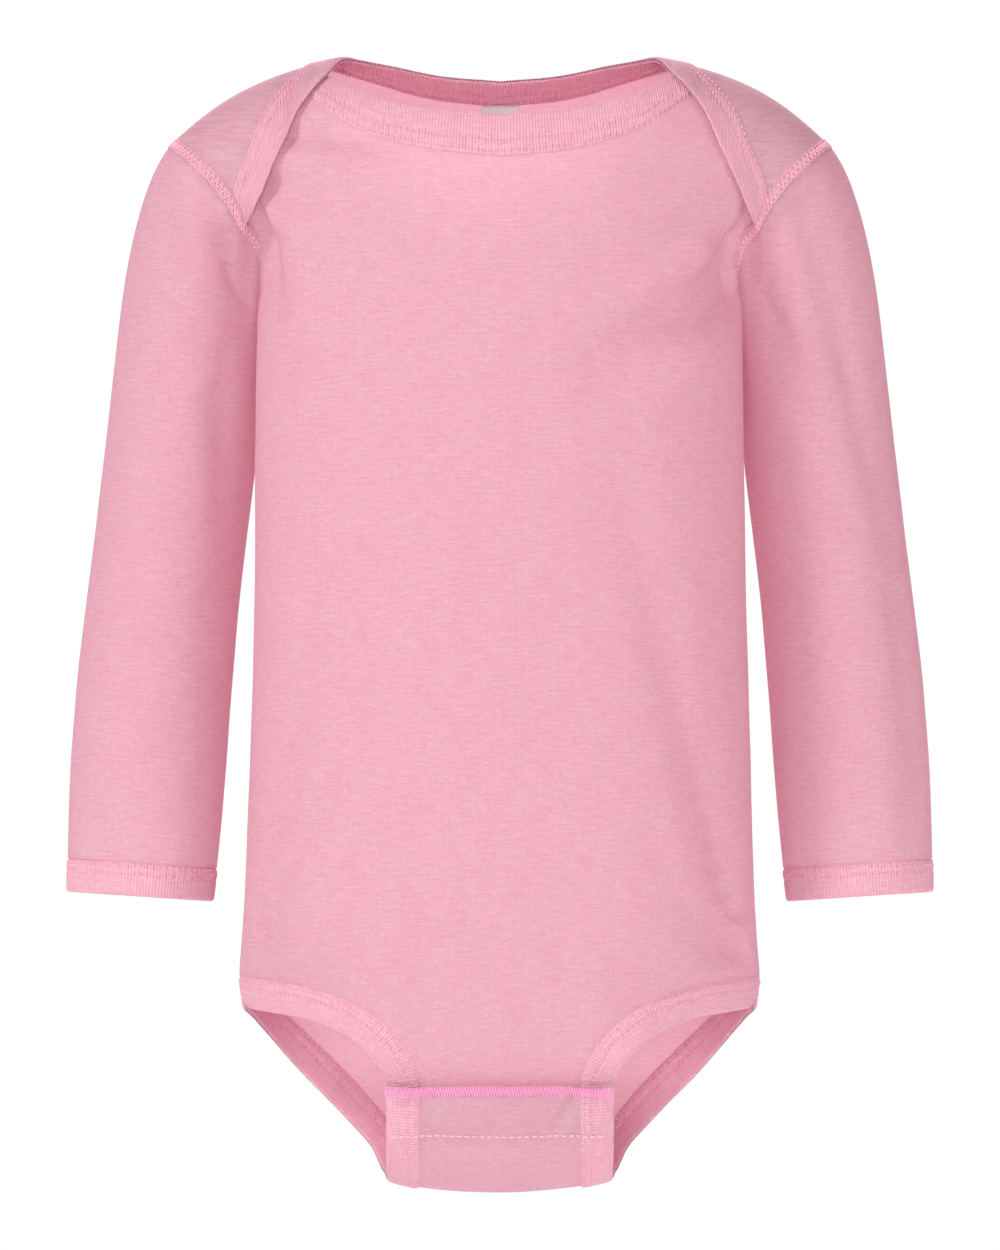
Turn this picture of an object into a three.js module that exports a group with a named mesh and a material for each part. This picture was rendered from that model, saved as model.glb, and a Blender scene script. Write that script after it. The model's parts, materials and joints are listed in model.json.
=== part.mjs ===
// Long-sleeved baby bodysuit with lap shoulders, size 12 months, standing open in the shape it has when worn.
// Millimetres. +Z is up, the front faces -Y, and +X is the wearer's left.
// The origin lies between the shoulders, at the height of the neck points, where a wearer holds it up.
import * as THREE from 'three';

// Thicknesses, widths and gaps
const JERSEY = 1.2; // wall of the front, back and sleeves
const RIB = 2.0; // wall of the folded rib binding
const BINDING = 12; // width of every binding
const SEAM_GAP = 0.35; // between two pieces at a seam
const LEG_SEAM_GAP = 0.55; // where the binding stands at an angle to the panel
const LAP_RISE = 3.6; // from the middle of the front's wall to the middle of the lap's wall over it
const FOLDED_EDGE = [
  // half of the binding's wall, from its seam to its folded edge
  { across: 0, half: RIB / 2 },
  { across: 5, half: RIB / 2 },
  { across: 9, half: RIB / 2 },
  { across: 11.3, half: RIB * 0.4 },
  { across: BINDING, half: RIB * 0.18 },
];

// Shoulders and armholes
const SHOULDER_TIP_X = 116.2;
const NECK_POINT_RISE = 0.1;
const SHOULDER_DROP = 33.2; // from the neck points to the shoulder tips
const SHOULDER_ROUNDING = 3.6;
const ARMHOLE_BULGE = 29; // how far the armhole's front and back stand out between armpit and shoulder tip
const ARMHOLE_SPREAD = 2.5;
const BODY_SQUARENESS = 0.1; // 0 gives an elliptical body
const EDGE = 1 - 0.0018; // a panel's side edges stop just short of the seam line

// Grid
const COLUMNS = 28; // across each panel
const CROWDING = 0.1; // of the columns, toward the side edges
const LEG_ROWS = { front: 9, back: 15 };
const SIDE_ROWS = 12;
const YOKE_ROWS = { front: 14, back: 15 };
const SLEEVE_SIDES = 24;
const SLEEVE_HEAD_ROWS = 7;
const SLEEVE_ROWS = 10;
const STEP = 1e-3; // for slopes

// Front panel, a row for each level from the crotch end up to the armpit.
// at: millimetres along the middle; mid: the middle; edge: leg edge, then side seam; round: 0 flat, 1 oval.
const FRONT_ROWS = [
  { at: 0, midY: -36.0, midZ: -378, edgeX: 28.0, edgeY: -34.5, edgeZ: -377.5, round: 0 },
  { at: 18, midY: -40.5, midZ: -360, edgeX: 28.0, edgeY: -39.0, edgeZ: -360.5, round: 0 },
  { at: 32, midY: -44.5, midZ: -346, edgeX: 31.0, edgeY: -42.0, edgeZ: -350.0, round: 0.1 },
  { at: 46, midY: -48.5, midZ: -332, edgeX: 38.5, edgeY: -43.5, edgeZ: -340.5, round: 0.3 },
  { at: 60, midY: -52.5, midZ: -319, edgeX: 50.5, edgeY: -41.5, edgeZ: -332.0, round: 0.5 },
  { at: 75, midY: -56.0, midZ: -305, edgeX: 67.0, edgeY: -33.0, edgeZ: -326.5, round: 0.75 },
  { at: 87, midY: -58.0, midZ: -293, edgeX: 82.0, edgeY: -18.0, edgeZ: -324.8, round: 0.92 },
  { at: 97, midY: -59.5, midZ: -283, edgeX: 91.8, edgeY: 0.0, edgeZ: -324.2, round: 1, corner: true },
  { at: 122, midY: -61.0, midZ: -258, edgeX: 89.8, edgeY: -2.0, edgeZ: -294, round: 1 },
  { at: 160, midY: -61.5, midZ: -220, edgeX: 87.9, edgeY: -4.5, edgeZ: -240, round: 1 },
  { at: 200, midY: -60.0, midZ: -180, edgeX: 86.5, edgeY: -7.0, edgeZ: -188, round: 1 },
  { at: 245, midY: -57.5, midZ: -135, edgeX: 85.9, edgeY: -7.0, edgeZ: -134, round: 1 },
  { at: 292, midY: -56.5, midZ: -88, edgeX: 85.5, edgeY: 0.0, edgeZ: -82, round: 1 },
];
const FRONT_SIDE_AT = 97; // where the side seam starts

// Back panel, from the flap's end at the front, under the crotch and up the back.
const BACK_ROWS = [
  { at: 0, midY: -44.6, midZ: -360, edgeX: 28.0, edgeY: -43.1, edgeZ: -360.5, round: 0 },
  { at: 18, midY: -40.1, midZ: -378, edgeX: 28.0, edgeY: -38.6, edgeZ: -377.5, round: 0 },
  { at: 32, midY: -31.5, midZ: -391, edgeX: 28.0, edgeY: -30.5, edgeZ: -389.5, round: 0 },
  { at: 45, midY: -19.0, midZ: -398.3, edgeX: 28.0, edgeY: -19.0, edgeZ: -396.2, round: 0 },
  { at: 58, midY: -5.0, midZ: -400, edgeX: 28.5, edgeY: -6.0, edgeZ: -397.6, round: 0 },
  { at: 72, midY: 9.0, midZ: -397, edgeX: 30.5, edgeY: 7.0, edgeZ: -393.6, round: 0.05 },
  { at: 90, midY: 24.5, midZ: -388, edgeX: 36.3, edgeY: 20.0, edgeZ: -382.5, round: 0.15 },
  { at: 112, midY: 39.0, midZ: -371, edgeX: 46.8, edgeY: 31.0, edgeZ: -370.0, round: 0.3 },
  { at: 137, midY: 49.0, midZ: -347, edgeX: 59.5, edgeY: 37.0, edgeZ: -356.8, round: 0.5 },
  { at: 165, midY: 55.5, midZ: -320, edgeX: 74.3, edgeY: 33.0, edgeZ: -342.5, round: 0.72 },
  { at: 188, midY: 58.5, midZ: -297, edgeX: 85.8, edgeY: 19.5, edgeZ: -331.0, round: 0.9 },
  { at: 202, midY: 59.5, midZ: -283, edgeX: 91.8, edgeY: 0.0, edgeZ: -324.2, round: 1, corner: true },
  { at: 227, midY: 59.5, midZ: -258, edgeX: 89.8, edgeY: -2.0, edgeZ: -294, round: 1 },
  { at: 265, midY: 57.0, midZ: -220, edgeX: 87.9, edgeY: -4.5, edgeZ: -240, round: 1 },
  { at: 305, midY: 53.0, midZ: -180, edgeX: 86.5, edgeY: -7.0, edgeZ: -188, round: 1 },
  { at: 350, midY: 50.5, midZ: -135, edgeX: 85.9, edgeY: -7.0, edgeZ: -134, round: 1 },
  { at: 397, midY: 50.0, midZ: -88, edgeX: 85.5, edgeY: 0.0, edgeZ: -82, round: 1 },
];
const BACK_SIDE_AT = 202;

// Bound edges of the neck. at: share of the half width, from the middle to the armhole.
// up: 1 at the armpit, 2 on top of the shoulder, more where the edge runs on over it.
const FRONT_NECK = [
  { at: 0, up: 1.522 },
  { at: 0.2, up: 1.55 },
  { at: 0.365, up: 1.61 },
  { at: 0.46, up: 1.69 },
  { at: 0.53, up: 1.79 },
  { at: 0.62, up: 1.95 },
  { at: 0.74, up: 2.12 },
  { at: 0.87, up: 2.3 },
  { at: 1, up: 2.48 },
];
const BACK_NECK = [
  { at: 0, up: 1.73 },
  { at: 0.2, up: 1.775 },
  { at: 0.36, up: 1.88 },
  { at: 0.45, up: 2 },
  { at: 0.53, up: 2.17 },
  { at: 0.6, up: 2.32 },
  { at: 0.67, up: 2.45 },
  { at: 0.735, up: 2.56 },
  { at: 0.8, up: 2.65 },
  { at: 0.88, up: 2.715 },
  { at: 1, up: 2.76 },
];

// Sleeve for the wearer's left arm, a row for each ring below the sleeve head.
const SLEEVE = [
  { at: 0, x: 111.2, y: 18.5, z: -116, halfWidth: 26.8, halfDepth: 28.5 },
  { at: 25, x: 114.0, y: 18.5, z: -141, halfWidth: 27.0, halfDepth: 27.0 },
  { at: 50, x: 116.8, y: 17.8, z: -166, halfWidth: 27.0, halfDepth: 25.8 },
  { at: 77, x: 119.8, y: 16.0, z: -193, halfWidth: 27.1, halfDepth: 24.8 },
  { at: 110, x: 122.9, y: 15.0, z: -226, halfWidth: 27.5, halfDepth: 23.0 },
  { at: 145, x: 125.5, y: 13.5, z: -261, halfWidth: 27.3, halfDepth: 21.5 },
  { at: 169, x: 127.1, y: 12.5, z: -285, halfWidth: 26.4, halfDepth: 20.3 },
];
const HEAD_LEAVE = 55; // how strongly the sleeve head leaves the armhole along the shoulder
const HEAD_ARRIVE = 75; // how strongly it arrives along the arm
const LEG_BINDING_LEVEL = 0.7; // how much of a leg binding stands upright instead of following the panel
const ARMPIT_TUCK = 2.3; // distance from the body's wall to the sleeve's at the armpit, middle to middle

// Folds, as seen from the front or the back: from, via, to, then depth and width at both ends.
// A depth below zero is a trough.
const FRONT_FOLDS = [
  { from: [86, -70], via: [78, -88], to: [38, -108], depth: -3.4, endDepth: -0.6, width: 8, endWidth: 13 },
  { from: [84, -73], via: [70, -92], to: [46, -112], depth: 1.6, endDepth: 0.2, width: 6, endWidth: 12 },
  { from: [66, -65], via: [50, -76], to: [34, -86], depth: -1.1, endDepth: -0.4, width: 9, endWidth: 10 },
  { from: [42, -146], via: [54, -195], to: [84, -312], depth: -0.5, endDepth: -2.4, width: 9, endWidth: 8 },
  { from: [53, -276], via: [66, -302], to: [83, -317], depth: -0.3, endDepth: -1.8, width: 6, endWidth: 5 },
  { from: [-73, -30], via: [-54, -32], to: [-36, -29], depth: -1.8, endDepth: -0.3, width: 5, endWidth: 6 },
  { from: [-83, -46], via: [-60, -57], to: [-38, -52], depth: -2.4, endDepth: -0.3, width: 6, endWidth: 8 },
  { from: [-86, -68], via: [-81, -80], to: [-77, -96], depth: -2.4, endDepth: -0.3, width: 7, endWidth: 8 },
  { from: [-61, -166], via: [-69, -226], to: [-85, -314], depth: -0.3, endDepth: -1.4, width: 6, endWidth: 6 },
  { from: [-24, -312], via: [-26, -330], to: [-24, -348], depth: -0.9, endDepth: -0.4, width: 8, endWidth: 8 },
];
const BACK_FOLDS = [
  { from: [84, -68], via: [66, -92], to: [34, -118], depth: -2.8, endDepth: -0.3, width: 7, endWidth: 14 },
  { from: [-84, -66], via: [-62, -84], to: [-40, -96], depth: -2.6, endDepth: -0.4, width: 6, endWidth: 12 },
  { from: [-80, -88], via: [-62, -120], to: [-50, -150], depth: -1.6, endDepth: -0.3, width: 7, endWidth: 12 },
  { from: [40, -160], via: [52, -214], to: [80, -300], depth: -0.3, endDepth: -2.2, width: 10, endWidth: 9 },
  { from: [-50, -186], via: [-56, -240], to: [-78, -304], depth: -0.3, endDepth: -1.8, width: 9, endWidth: 7 },
  { from: [12, -300], via: [18, -336], to: [16, -368], depth: -0.8, endDepth: -0.5, width: 10, endWidth: 8 },
];
const LEFT_SLEEVE_FOLDS = {
  front: [
    { from: [103, -52], via: [117, -84], to: [131, -148], depth: -2.2, endDepth: -0.8, width: 6, endWidth: 7 },
    { from: [135, -120], via: [143, -190], to: [150, -272], depth: -0.4, endDepth: -1.5, width: 6, endWidth: 8 },
    { from: [96, -96], via: [104, -120], to: [118, -138], depth: -0.8, endDepth: -0.2, width: 6, endWidth: 8 },
  ],
  back: [
    { from: [104, -60], via: [114, -96], to: [122, -150], depth: -1.8, endDepth: -0.4, width: 7, endWidth: 8 },
    { from: [98, -190], via: [118, -204], to: [140, -206], depth: -1.2, endDepth: -0.3, width: 6, endWidth: 8 },
  ],
};
const RIGHT_SLEEVE_FOLDS = {
  front: [
    { from: [104, -42], via: [101, -50], to: [99, -60], depth: -1.8, endDepth: -0.6, width: 5, endWidth: 5 },
    { from: [96, -66], via: [92, -80], to: [91, -98], depth: -1.8, endDepth: -0.4, width: 4, endWidth: 5 },
    { from: [117, -44], via: [119, -60], to: [120, -80], depth: -0.9, endDepth: -0.2, width: 5, endWidth: 7 },
    { from: [99, -120], via: [97, -150], to: [96, -176], depth: -1.0, endDepth: -0.3, width: 6, endWidth: 7 },
  ],
  back: [
    { from: [102, -58], via: [110, -92], to: [124, -136], depth: -2.0, endDepth: -0.4, width: 7, endWidth: 8 },
    { from: [100, -178], via: [120, -196], to: [142, -192], depth: -1.1, endDepth: -0.3, width: 6, endWidth: 8 },
  ],
};
const FOLD_STEPS = 12;

// Neck label and snaps
const LABEL = { width: 13, length: 20, thickness: 1.0 };
const SNAP = { radius: 4.5, thickness: 1.2, spacing: 19, below: 9 };

const FRONT = { side: -1, rows: FRONT_ROWS, sideAt: FRONT_SIDE_AT, fullness: 0.05, folds: FRONT_FOLDS };
const BACK = { side: 1, rows: BACK_ROWS, sideAt: BACK_SIDE_AT, fullness: 0.18, folds: BACK_FOLDS };
FRONT.other = BACK;
BACK.other = FRONT;

const { lerp, clamp, smoothstep } = THREE.MathUtils;

// A column of a table at a station, on a smooth curve through the rows.
function column(rows, name, at) {
  const last = rows.length - 1;
  let k = 0;
  while (k < last - 1 && rows[k + 1].at < at) k += 1;
  const slope = (i) => {
    const before = rows[Math.max(rows[i].corner && i === k ? i : i - 1, 0)];
    const after = rows[Math.min(rows[i].corner && i > k ? i : i + 1, last)];
    return (after[name] - before[name]) / (after.at - before.at);
  };
  const span = rows[k + 1].at - rows[k].at;
  const t = (at - rows[k].at) / span;
  if (t > 1) return rows[last][name] + (at - rows[last].at) * slope(last);
  const t2 = t * t;
  const t3 = t2 * t;
  return (
    (2 * t3 - 3 * t2 + 1) * rows[k][name] +
    (t3 - 2 * t2 + t) * span * slope(k) +
    (3 * t2 - 2 * t3) * rows[k + 1][name] +
    (t3 - t2) * span * slope(k + 1)
  );
}

// Point of a level of the body, u from -1 at the wearer's right edge to 1 at the left one.
function levelPoint(rows, at, u) {
  const value = (name) => column(rows, name, at);
  const cos = Math.cos((u * Math.PI) / 2);
  const sin = Math.sin((u * Math.PI) / 2);
  const round = value('round');
  const across = lerp(u, sin * (1 + BODY_SQUARENESS * cos * cos), round);
  const forward = lerp(1 - u * u, cos * (1 + BODY_SQUARENESS * sin * sin), round);
  return new THREE.Vector3(
    value('edgeX') * across,
    lerp(value('edgeY'), value('midY'), forward),
    lerp(value('edgeZ'), value('midZ'), 1 - u * u),
  );
}

// Point of the body's middle surface before folding. v is 0 at the crotch end, 1 at the armpit and
// 2 on top of the shoulder, and past 2 it runs down the other side.
function smoothBody(face, u, v) {
  if (v > 2) return smoothBody(face.other, u, 4 - v);
  const end = face.rows[face.rows.length - 1].at;
  if (v <= 1) return levelPoint(face.rows, v * end, u);
  const low = levelPoint(face.rows, end, u);
  const reach = Math.abs(u);
  const topZ = NECK_POINT_RISE - SHOULDER_DROP * reach ** SHOULDER_ROUNDING;
  const rise = Math.sin(((v - 1) * Math.PI) / 2);
  const run = Math.cos(((v - 1) * Math.PI) / 2);
  const full = face.fullness * (1 - u * u);
  const bulge = ARMHOLE_BULGE * reach ** ARMHOLE_SPREAD * Math.sin((v - 1) * Math.PI);
  return new THREE.Vector3(
    lerp(low.x, SHOULDER_TIP_X * u, rise * rise),
    low.y * run * (1 + full * rise * rise) + face.side * bulge,
    lerp(low.z, topZ, rise * (1 + full * run * run)),
  );
}

// Unit normal of a surface given as a function of two parameters.
function normalOf(surface, u, v) {
  const alongU = surface(u + STEP, v).sub(surface(u - STEP, v));
  const alongV = surface(u, v + STEP).sub(surface(u, v - STEP));
  return alongU.cross(alongV).normalize();
}

// Height of all folds of a table at a point seen from the front or back.
function foldHeight(folds, x, z) {
  let height = 0;
  for (const fold of folds) {
    let nearest = { distance: Infinity, t: 0 };
    for (let k = 0; k <= FOLD_STEPS; k++) {
      const t = k / FOLD_STEPS;
      const at = (axis) =>
        (1 - t) ** 2 * fold.from[axis] + 2 * t * (1 - t) * fold.via[axis] + t ** 2 * fold.to[axis];
      const distance = Math.hypot(x - at(0), z - at(1));
      if (distance < nearest.distance) nearest = { distance, t };
    }
    const width = lerp(fold.width, fold.endWidth, nearest.t);
    const depth = lerp(fold.depth, fold.endDepth, nearest.t);
    height += depth * Math.exp(-((nearest.distance / width) ** 2));
  }
  return height;
}

// Outward normal of the smooth body.
function bodyNormal(face, u, v) {
  const normal = normalOf((a, b) => smoothBody(face, a, b), u, v);
  return normal.multiplyScalar(-face.side);
}

// Point of the folded body, raised by a layer's height.
function bodyPoint(face, u, v, raise = 0) {
  const point = smoothBody(face, u, v);
  const showing = v > 2 ? face.other : face;
  const besideSeam = smoothstep(Math.abs(u), 0.84, 1) * (1 - smoothstep(v, 1, 1.1));
  const height = raise + (1 - besideSeam) * foldHeight(showing.folds, point.x, point.z);
  return point.addScaledVector(bodyNormal(face, u, v), height);
}

// Height of a panel's layer: over the shoulders the back lies on the front, and at the armhole
// both are drawn together about the seam.
function layerHeight(face, u, v) {
  const frontV = face === FRONT ? v : 4 - v;
  const onTop = 1 - smoothstep(frontV, 1.6, 2.4);
  const doubled = smoothstep(frontV, 1.05, 1.3) * (1 - smoothstep(frontV, 2.55, 2.8));
  const drawn = (LAP_RISE / 2) * smoothstep(Math.abs(u), 0.75, 1) * doubled * (1 - 2 * onTop);
  return drawn + LAP_RISE * (face === FRONT ? onTop - 1 : onTop);
}

const panelPoint = (face, u, v) => bodyPoint(face, u, v, layerHeight(face, u, v));

function panelNormal(face, u, v) {
  return normalOf((a, b) => panelPoint(face, a, b), u, v).multiplyScalar(-face.side);
}

// A neck edge moved along the cloth, by so many millimetres away from the opening, as a new table.
function shiftedEdge(face, edge, distance) {
  const surface = (u, v) => smoothBody(face, u, v);
  const count = 40;
  const moved = [];
  for (let k = 0; k <= count; k++) {
    const u = k / count;
    const v = column(edge, 'up', u);
    const here = surface(u, v);
    const ahead = surface(u + STEP, column(edge, 'up', u + STEP));
    const behind = surface(u - STEP, column(edge, 'up', Math.abs(u - STEP)));
    const tangent = ahead.sub(behind).normalize();
    const alongU = surface(u + STEP, v).sub(here).divideScalar(STEP);
    const alongV = surface(u, v + STEP).sub(here).divideScalar(STEP);
    const normal = alongU.clone().cross(alongV).normalize();
    const away = tangent.cross(normal).multiplyScalar(distance);
    // two equations for the step in u and v that gives that move
    const uu = alongU.dot(alongU);
    const uv = alongU.dot(alongV);
    const vv = alongV.dot(alongV);
    const det = uu * vv - uv * uv;
    const du = (vv * alongU.dot(away) - uv * alongV.dot(away)) / det;
    const dv = (uu * alongV.dot(away) - uv * alongU.dot(away)) / det;
    moved.push({ at: u + du, up: v + dv });
  }
  return moved.filter((row, k) => k === 0 || row.at > moved[k - 1].at);
}

// Closed solid between two matching grids of points. Where it wraps, the last column joins the first.
function shell(outer, inner, wraps = false) {
  const rows = outer.length;
  const columns = outer[0].length;
  const positions = [];
  for (const grid of [outer, inner]) {
    for (const row of grid) {
      for (const point of row) positions.push(point.x, point.y, point.z);
    }
  }
  const outside = (j, i) => j * columns + (i % columns);
  const inside = (j, i) => rows * columns + outside(j, i);
  const index = [];
  const quad = (a, b, c, d) => index.push(a, b, c, a, c, d);
  const lastColumn = wraps ? columns : columns - 1;
  for (let j = 0; j < rows - 1; j++) {
    for (let i = 0; i < lastColumn; i++) {
      quad(outside(j, i), outside(j, i + 1), outside(j + 1, i + 1), outside(j + 1, i));
      quad(inside(j, i), inside(j + 1, i), inside(j + 1, i + 1), inside(j, i + 1));
    }
    if (!wraps) {
      quad(inside(j, 0), outside(j, 0), outside(j + 1, 0), inside(j + 1, 0));
      quad(outside(j, lastColumn), inside(j, lastColumn), inside(j + 1, lastColumn), outside(j + 1, lastColumn));
    }
  }
  for (let i = 0; i < lastColumn; i++) {
    quad(inside(0, i), inside(0, i + 1), outside(0, i + 1), outside(0, i));
    const top = rows - 1;
    quad(outside(top, i), outside(top, i + 1), inside(top, i + 1), inside(top, i));
  }
  const geometry = new THREE.BufferGeometry();
  geometry.setAttribute('position', new THREE.Float32BufferAttribute(positions, 3));
  geometry.setIndex(signedVolume(positions, index) < 0 ? index.reverse() : index);
  geometry.computeVertexNormals();
  return geometry;
}

function signedVolume(positions, index) {
  const corner = (k) => new THREE.Vector3().fromArray(positions, index[k] * 3);
  let volume = 0;
  for (let k = 0; k < index.length; k += 3) {
    volume += corner(k).dot(corner(k + 1).cross(corner(k + 2))) / 6;
  }
  return volume;
}

// Wall of even or changing thickness about a grid of points with normals.
function wall(grid, halfThickness, wraps = false) {
  const shifted = (sign) =>
    grid.map((row) => row.map(({ point, normal }, i) => {
      const half = typeof halfThickness === 'number' ? halfThickness : halfThickness[i];
      return point.clone().addScaledVector(normal, sign * half);
    }));
  return shell(shifted(1), shifted(-1), wraps);
}

const across = Array.from({ length: COLUMNS + 1 }, (_, i) => {
  const share = (2 * i) / COLUMNS - 1;
  return EDGE * (share + CROWDING * Math.sin(Math.PI * share));
});
const halfWalls = FOLDED_EDGE.map((part) => part.half);

// Rows of v for one column of a panel: leg edge, side seam, then yoke up to the neck seam.
function panelHeights(face, u, seam, kind) {
  const end = face.rows[face.rows.length - 1].at;
  const side = face.sideAt / end;
  const top = column(seam, 'up', Math.abs(u));
  const heights = [];
  for (let j = 0; j <= LEG_ROWS[kind]; j++) heights.push((side * j) / LEG_ROWS[kind]);
  for (let j = 1; j <= SIDE_ROWS; j++) heights.push(lerp(side, 1, j / SIDE_ROWS));
  for (let j = 1; j <= YOKE_ROWS[kind]; j++) heights.push(lerp(1, top, j / YOKE_ROWS[kind]));
  return heights;
}

function panelGrid(face, seam, kind) {
  const columns = across.map((u) =>
    panelHeights(face, u, seam, kind).map((v) => ({
      point: panelPoint(face, u, v),
      normal: panelNormal(face, u, v),
    })));
  return columns[0].map((_, j) => columns.map((cells) => cells[j]));
}

// Binding of a neck edge: the strip between the panel's seam and the bound edge.
function neckBinding(face, edge) {
  const sewn = shiftedEdge(face, edge, BINDING);
  return across.map((u) => {
    const from = column(sewn, 'up', Math.abs(u));
    const to = column(edge, 'up', Math.abs(u));
    return FOLDED_EDGE.map((part) => {
      const v = lerp(from, to, part.across / BINDING);
      return { point: panelPoint(face, u, v), normal: panelNormal(face, u, v) };
    });
  });
}

// Binding of a leg opening, from the front's crotch end round the leg to the flap's end.
function legBinding(frontGrid, backGrid, side) {
  const edgeOf = (grid, rows) => grid.slice(0, rows + 1).map((row) => (side > 0 ? row[COLUMNS] : row[0]));
  const front = edgeOf(frontGrid, LEG_ROWS.front);
  const back = edgeOf(backGrid, LEG_ROWS.back);
  const path = [...front, ...back.reverse().slice(1)];
  return path.map((cell, k) => {
    const before = path[Math.max(k - 1, 0)].point;
    const after = path[Math.min(k + 1, path.length - 1)].point;
    const tangent = after.clone().sub(before).normalize();
    const level = new THREE.Vector3(side * Math.max(tangent.y, 0), -side * tangent.x, 0);
    const facing = cell.normal.clone().lerp(level, LEG_BINDING_LEVEL);
    const away = tangent.clone().cross(facing).multiplyScalar(side).normalize();
    const normal = away.clone().cross(tangent).multiplyScalar(side).normalize();
    return FOLDED_EDGE.map((part) => {
      const curl = 1.2 * (part.across / BINDING) ** 2;
      const point = cell.point.clone().addScaledVector(away, LEG_SEAM_GAP + part.across).addScaledVector(normal, -curl);
      return { point, normal };
    });
  });
}

// Armhole of the wearer's left side: t runs from the armpit up the front and down the back.
function armholePoint(t) {
  return t <= 0.5 ? smoothBody(FRONT, 1, 1 + 2 * t) : smoothBody(BACK, 1, 3 - 2 * t);
}

// Direction in which the cloth leaves the armhole, away from the body.
function armholeDirection(t) {
  const face = t <= 0.5 ? FRONT : BACK;
  const v = clamp(t <= 0.5 ? 1 + 2 * t : 3 - 2 * t, 1, 2);
  const along = smoothBody(face, 1, v).sub(smoothBody(face, 1 - STEP, v));
  return along.normalize();
}

function ringFrame(at) {
  const centre = (a) => new THREE.Vector3(column(SLEEVE, 'x', a), column(SLEEVE, 'y', a), column(SLEEVE, 'z', a));
  const down = centre(at + 1).sub(centre(at - 1)).normalize();
  const outward = new THREE.Vector3(-down.z, 0, down.x).normalize();
  return { centre: centre(at), down, outward, backward: outward.clone().cross(down) };
}

function ringPoint(at, t) {
  const { centre, outward, backward } = ringFrame(at);
  const angle = 2 * Math.PI * t;
  return centre
    .addScaledVector(outward, -column(SLEEVE, 'halfWidth', at) * Math.cos(angle))
    .addScaledVector(backward, -column(SLEEVE, 'halfDepth', at) * Math.sin(angle));
}

// Smooth left sleeve: h from 0 at the armhole to 1 at the head's end, then in millimetres down the arm, plus 1.
function smoothSleeve(t, h) {
  if (h > 1) return ringPoint(h - 1, t);
  const turn = ((t % 1) + 1) % 1;
  const nearPit = 1 - smoothstep(Math.min(turn, 1 - turn), 0.02, 0.16);
  const direction = armholeDirection(turn).lerp(new THREE.Vector3(0.6, 1, -0.35), nearPit).normalize();
  const gap = lerp(SEAM_GAP + 0.1, ARMPIT_TUCK, nearPit);
  const start = armholePoint(turn).addScaledVector(direction, gap);
  const leave = direction.clone().multiplyScalar(lerp(HEAD_LEAVE, 14, nearPit));
  const end = ringPoint(0, turn);
  const arrive = ringFrame(0).down.multiplyScalar(lerp(HEAD_ARRIVE, 30, nearPit));
  const h2 = h * h;
  const h3 = h2 * h;
  return start
    .multiplyScalar(2 * h3 - 3 * h2 + 1)
    .addScaledVector(leave, h3 - 2 * h2 + h)
    .addScaledVector(end, 3 * h2 - 2 * h3)
    .addScaledVector(arrive, h3 - h2);
}

// Outward normal of a sleeve surface, whose turn runs from the armpit round the front.
function sleeveNormal(surface, t, h) {
  return normalOf(surface, t, h).negate();
}

function sleevePoint(folds, t, h) {
  const point = smoothSleeve(t, h);
  const normal = sleeveNormal(smoothSleeve, t, Math.max(h, STEP));
  const seen = normal.y < 0 ? folds.front : folds.back;
  const facing = Math.abs(normal.y);
  return point.addScaledVector(normal, facing * foldHeight(seen, point.x, point.z));
}

// Rings of the sleeve as a grid, for the wearer's left arm, mirrored for the right.
function sleeveGrid(folds, side) {
  const steps = [];
  for (let j = 0; j <= SLEEVE_HEAD_ROWS; j++) steps.push(j / SLEEVE_HEAD_ROWS);
  const length = SLEEVE[SLEEVE.length - 1].at;
  for (let j = 1; j <= SLEEVE_ROWS; j++) steps.push(1 + (length * j) / SLEEVE_ROWS);
  const surface = (t, h) => sleevePoint(folds, t, h);
  const flip = new THREE.Vector3(side, 1, 1);
  return steps.map((h) =>
    Array.from({ length: SLEEVE_SIDES }, (_, i) => {
      const t = i / SLEEVE_SIDES;
      const normal = sleeveNormal(surface, t, Math.max(h, 2 * STEP));
      return { point: surface(t, h).multiply(flip), normal: normal.multiply(flip) };
    }));
}

// Cuff binding below the sleeve's last ring.
function cuffGrid(sleeve, side) {
  const { down } = ringFrame(SLEEVE[SLEEVE.length - 1].at);
  down.x *= side;
  const ring = sleeve[sleeve.length - 1];
  return ring.map(({ point, normal }) =>
    FOLDED_EDGE.map((part) => ({
      point: point.clone().addScaledVector(down, SEAM_GAP + part.across).addScaledVector(normal, -part.across * 0.05),
      normal,
    })));
}

// Blank label hanging inside the back, just below the neck binding.
function labelGrid(seam) {
  const rows = 4;
  const top = column(seam, 'up', 0);
  const perMillimetre = 0.1 / smoothBody(BACK, 0, top).distanceTo(smoothBody(BACK, 0, top - 0.1));
  const inset = JERSEY / 2 + SEAM_GAP + 0.4 + LABEL.thickness / 2;
  return Array.from({ length: rows + 1 }, (_, j) => {
    const v = top - (0.6 + (LABEL.length * j) / rows) * perMillimetre;
    const middle = panelPoint(BACK, 0, v).addScaledVector(panelNormal(BACK, 0, v), -inset);
    return [-0.5, -0.25, 0, 0.25, 0.5].map((share) => {
      const u = (share * LABEL.width) / SHOULDER_TIP_X;
      const point = panelPoint(BACK, u, v).addScaledVector(panelNormal(BACK, u, v), -inset);
      point.x = share * LABEL.width;
      point.z = middle.z;
      return { point, normal: panelNormal(BACK, u, v) };
    });
  });
}

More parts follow.
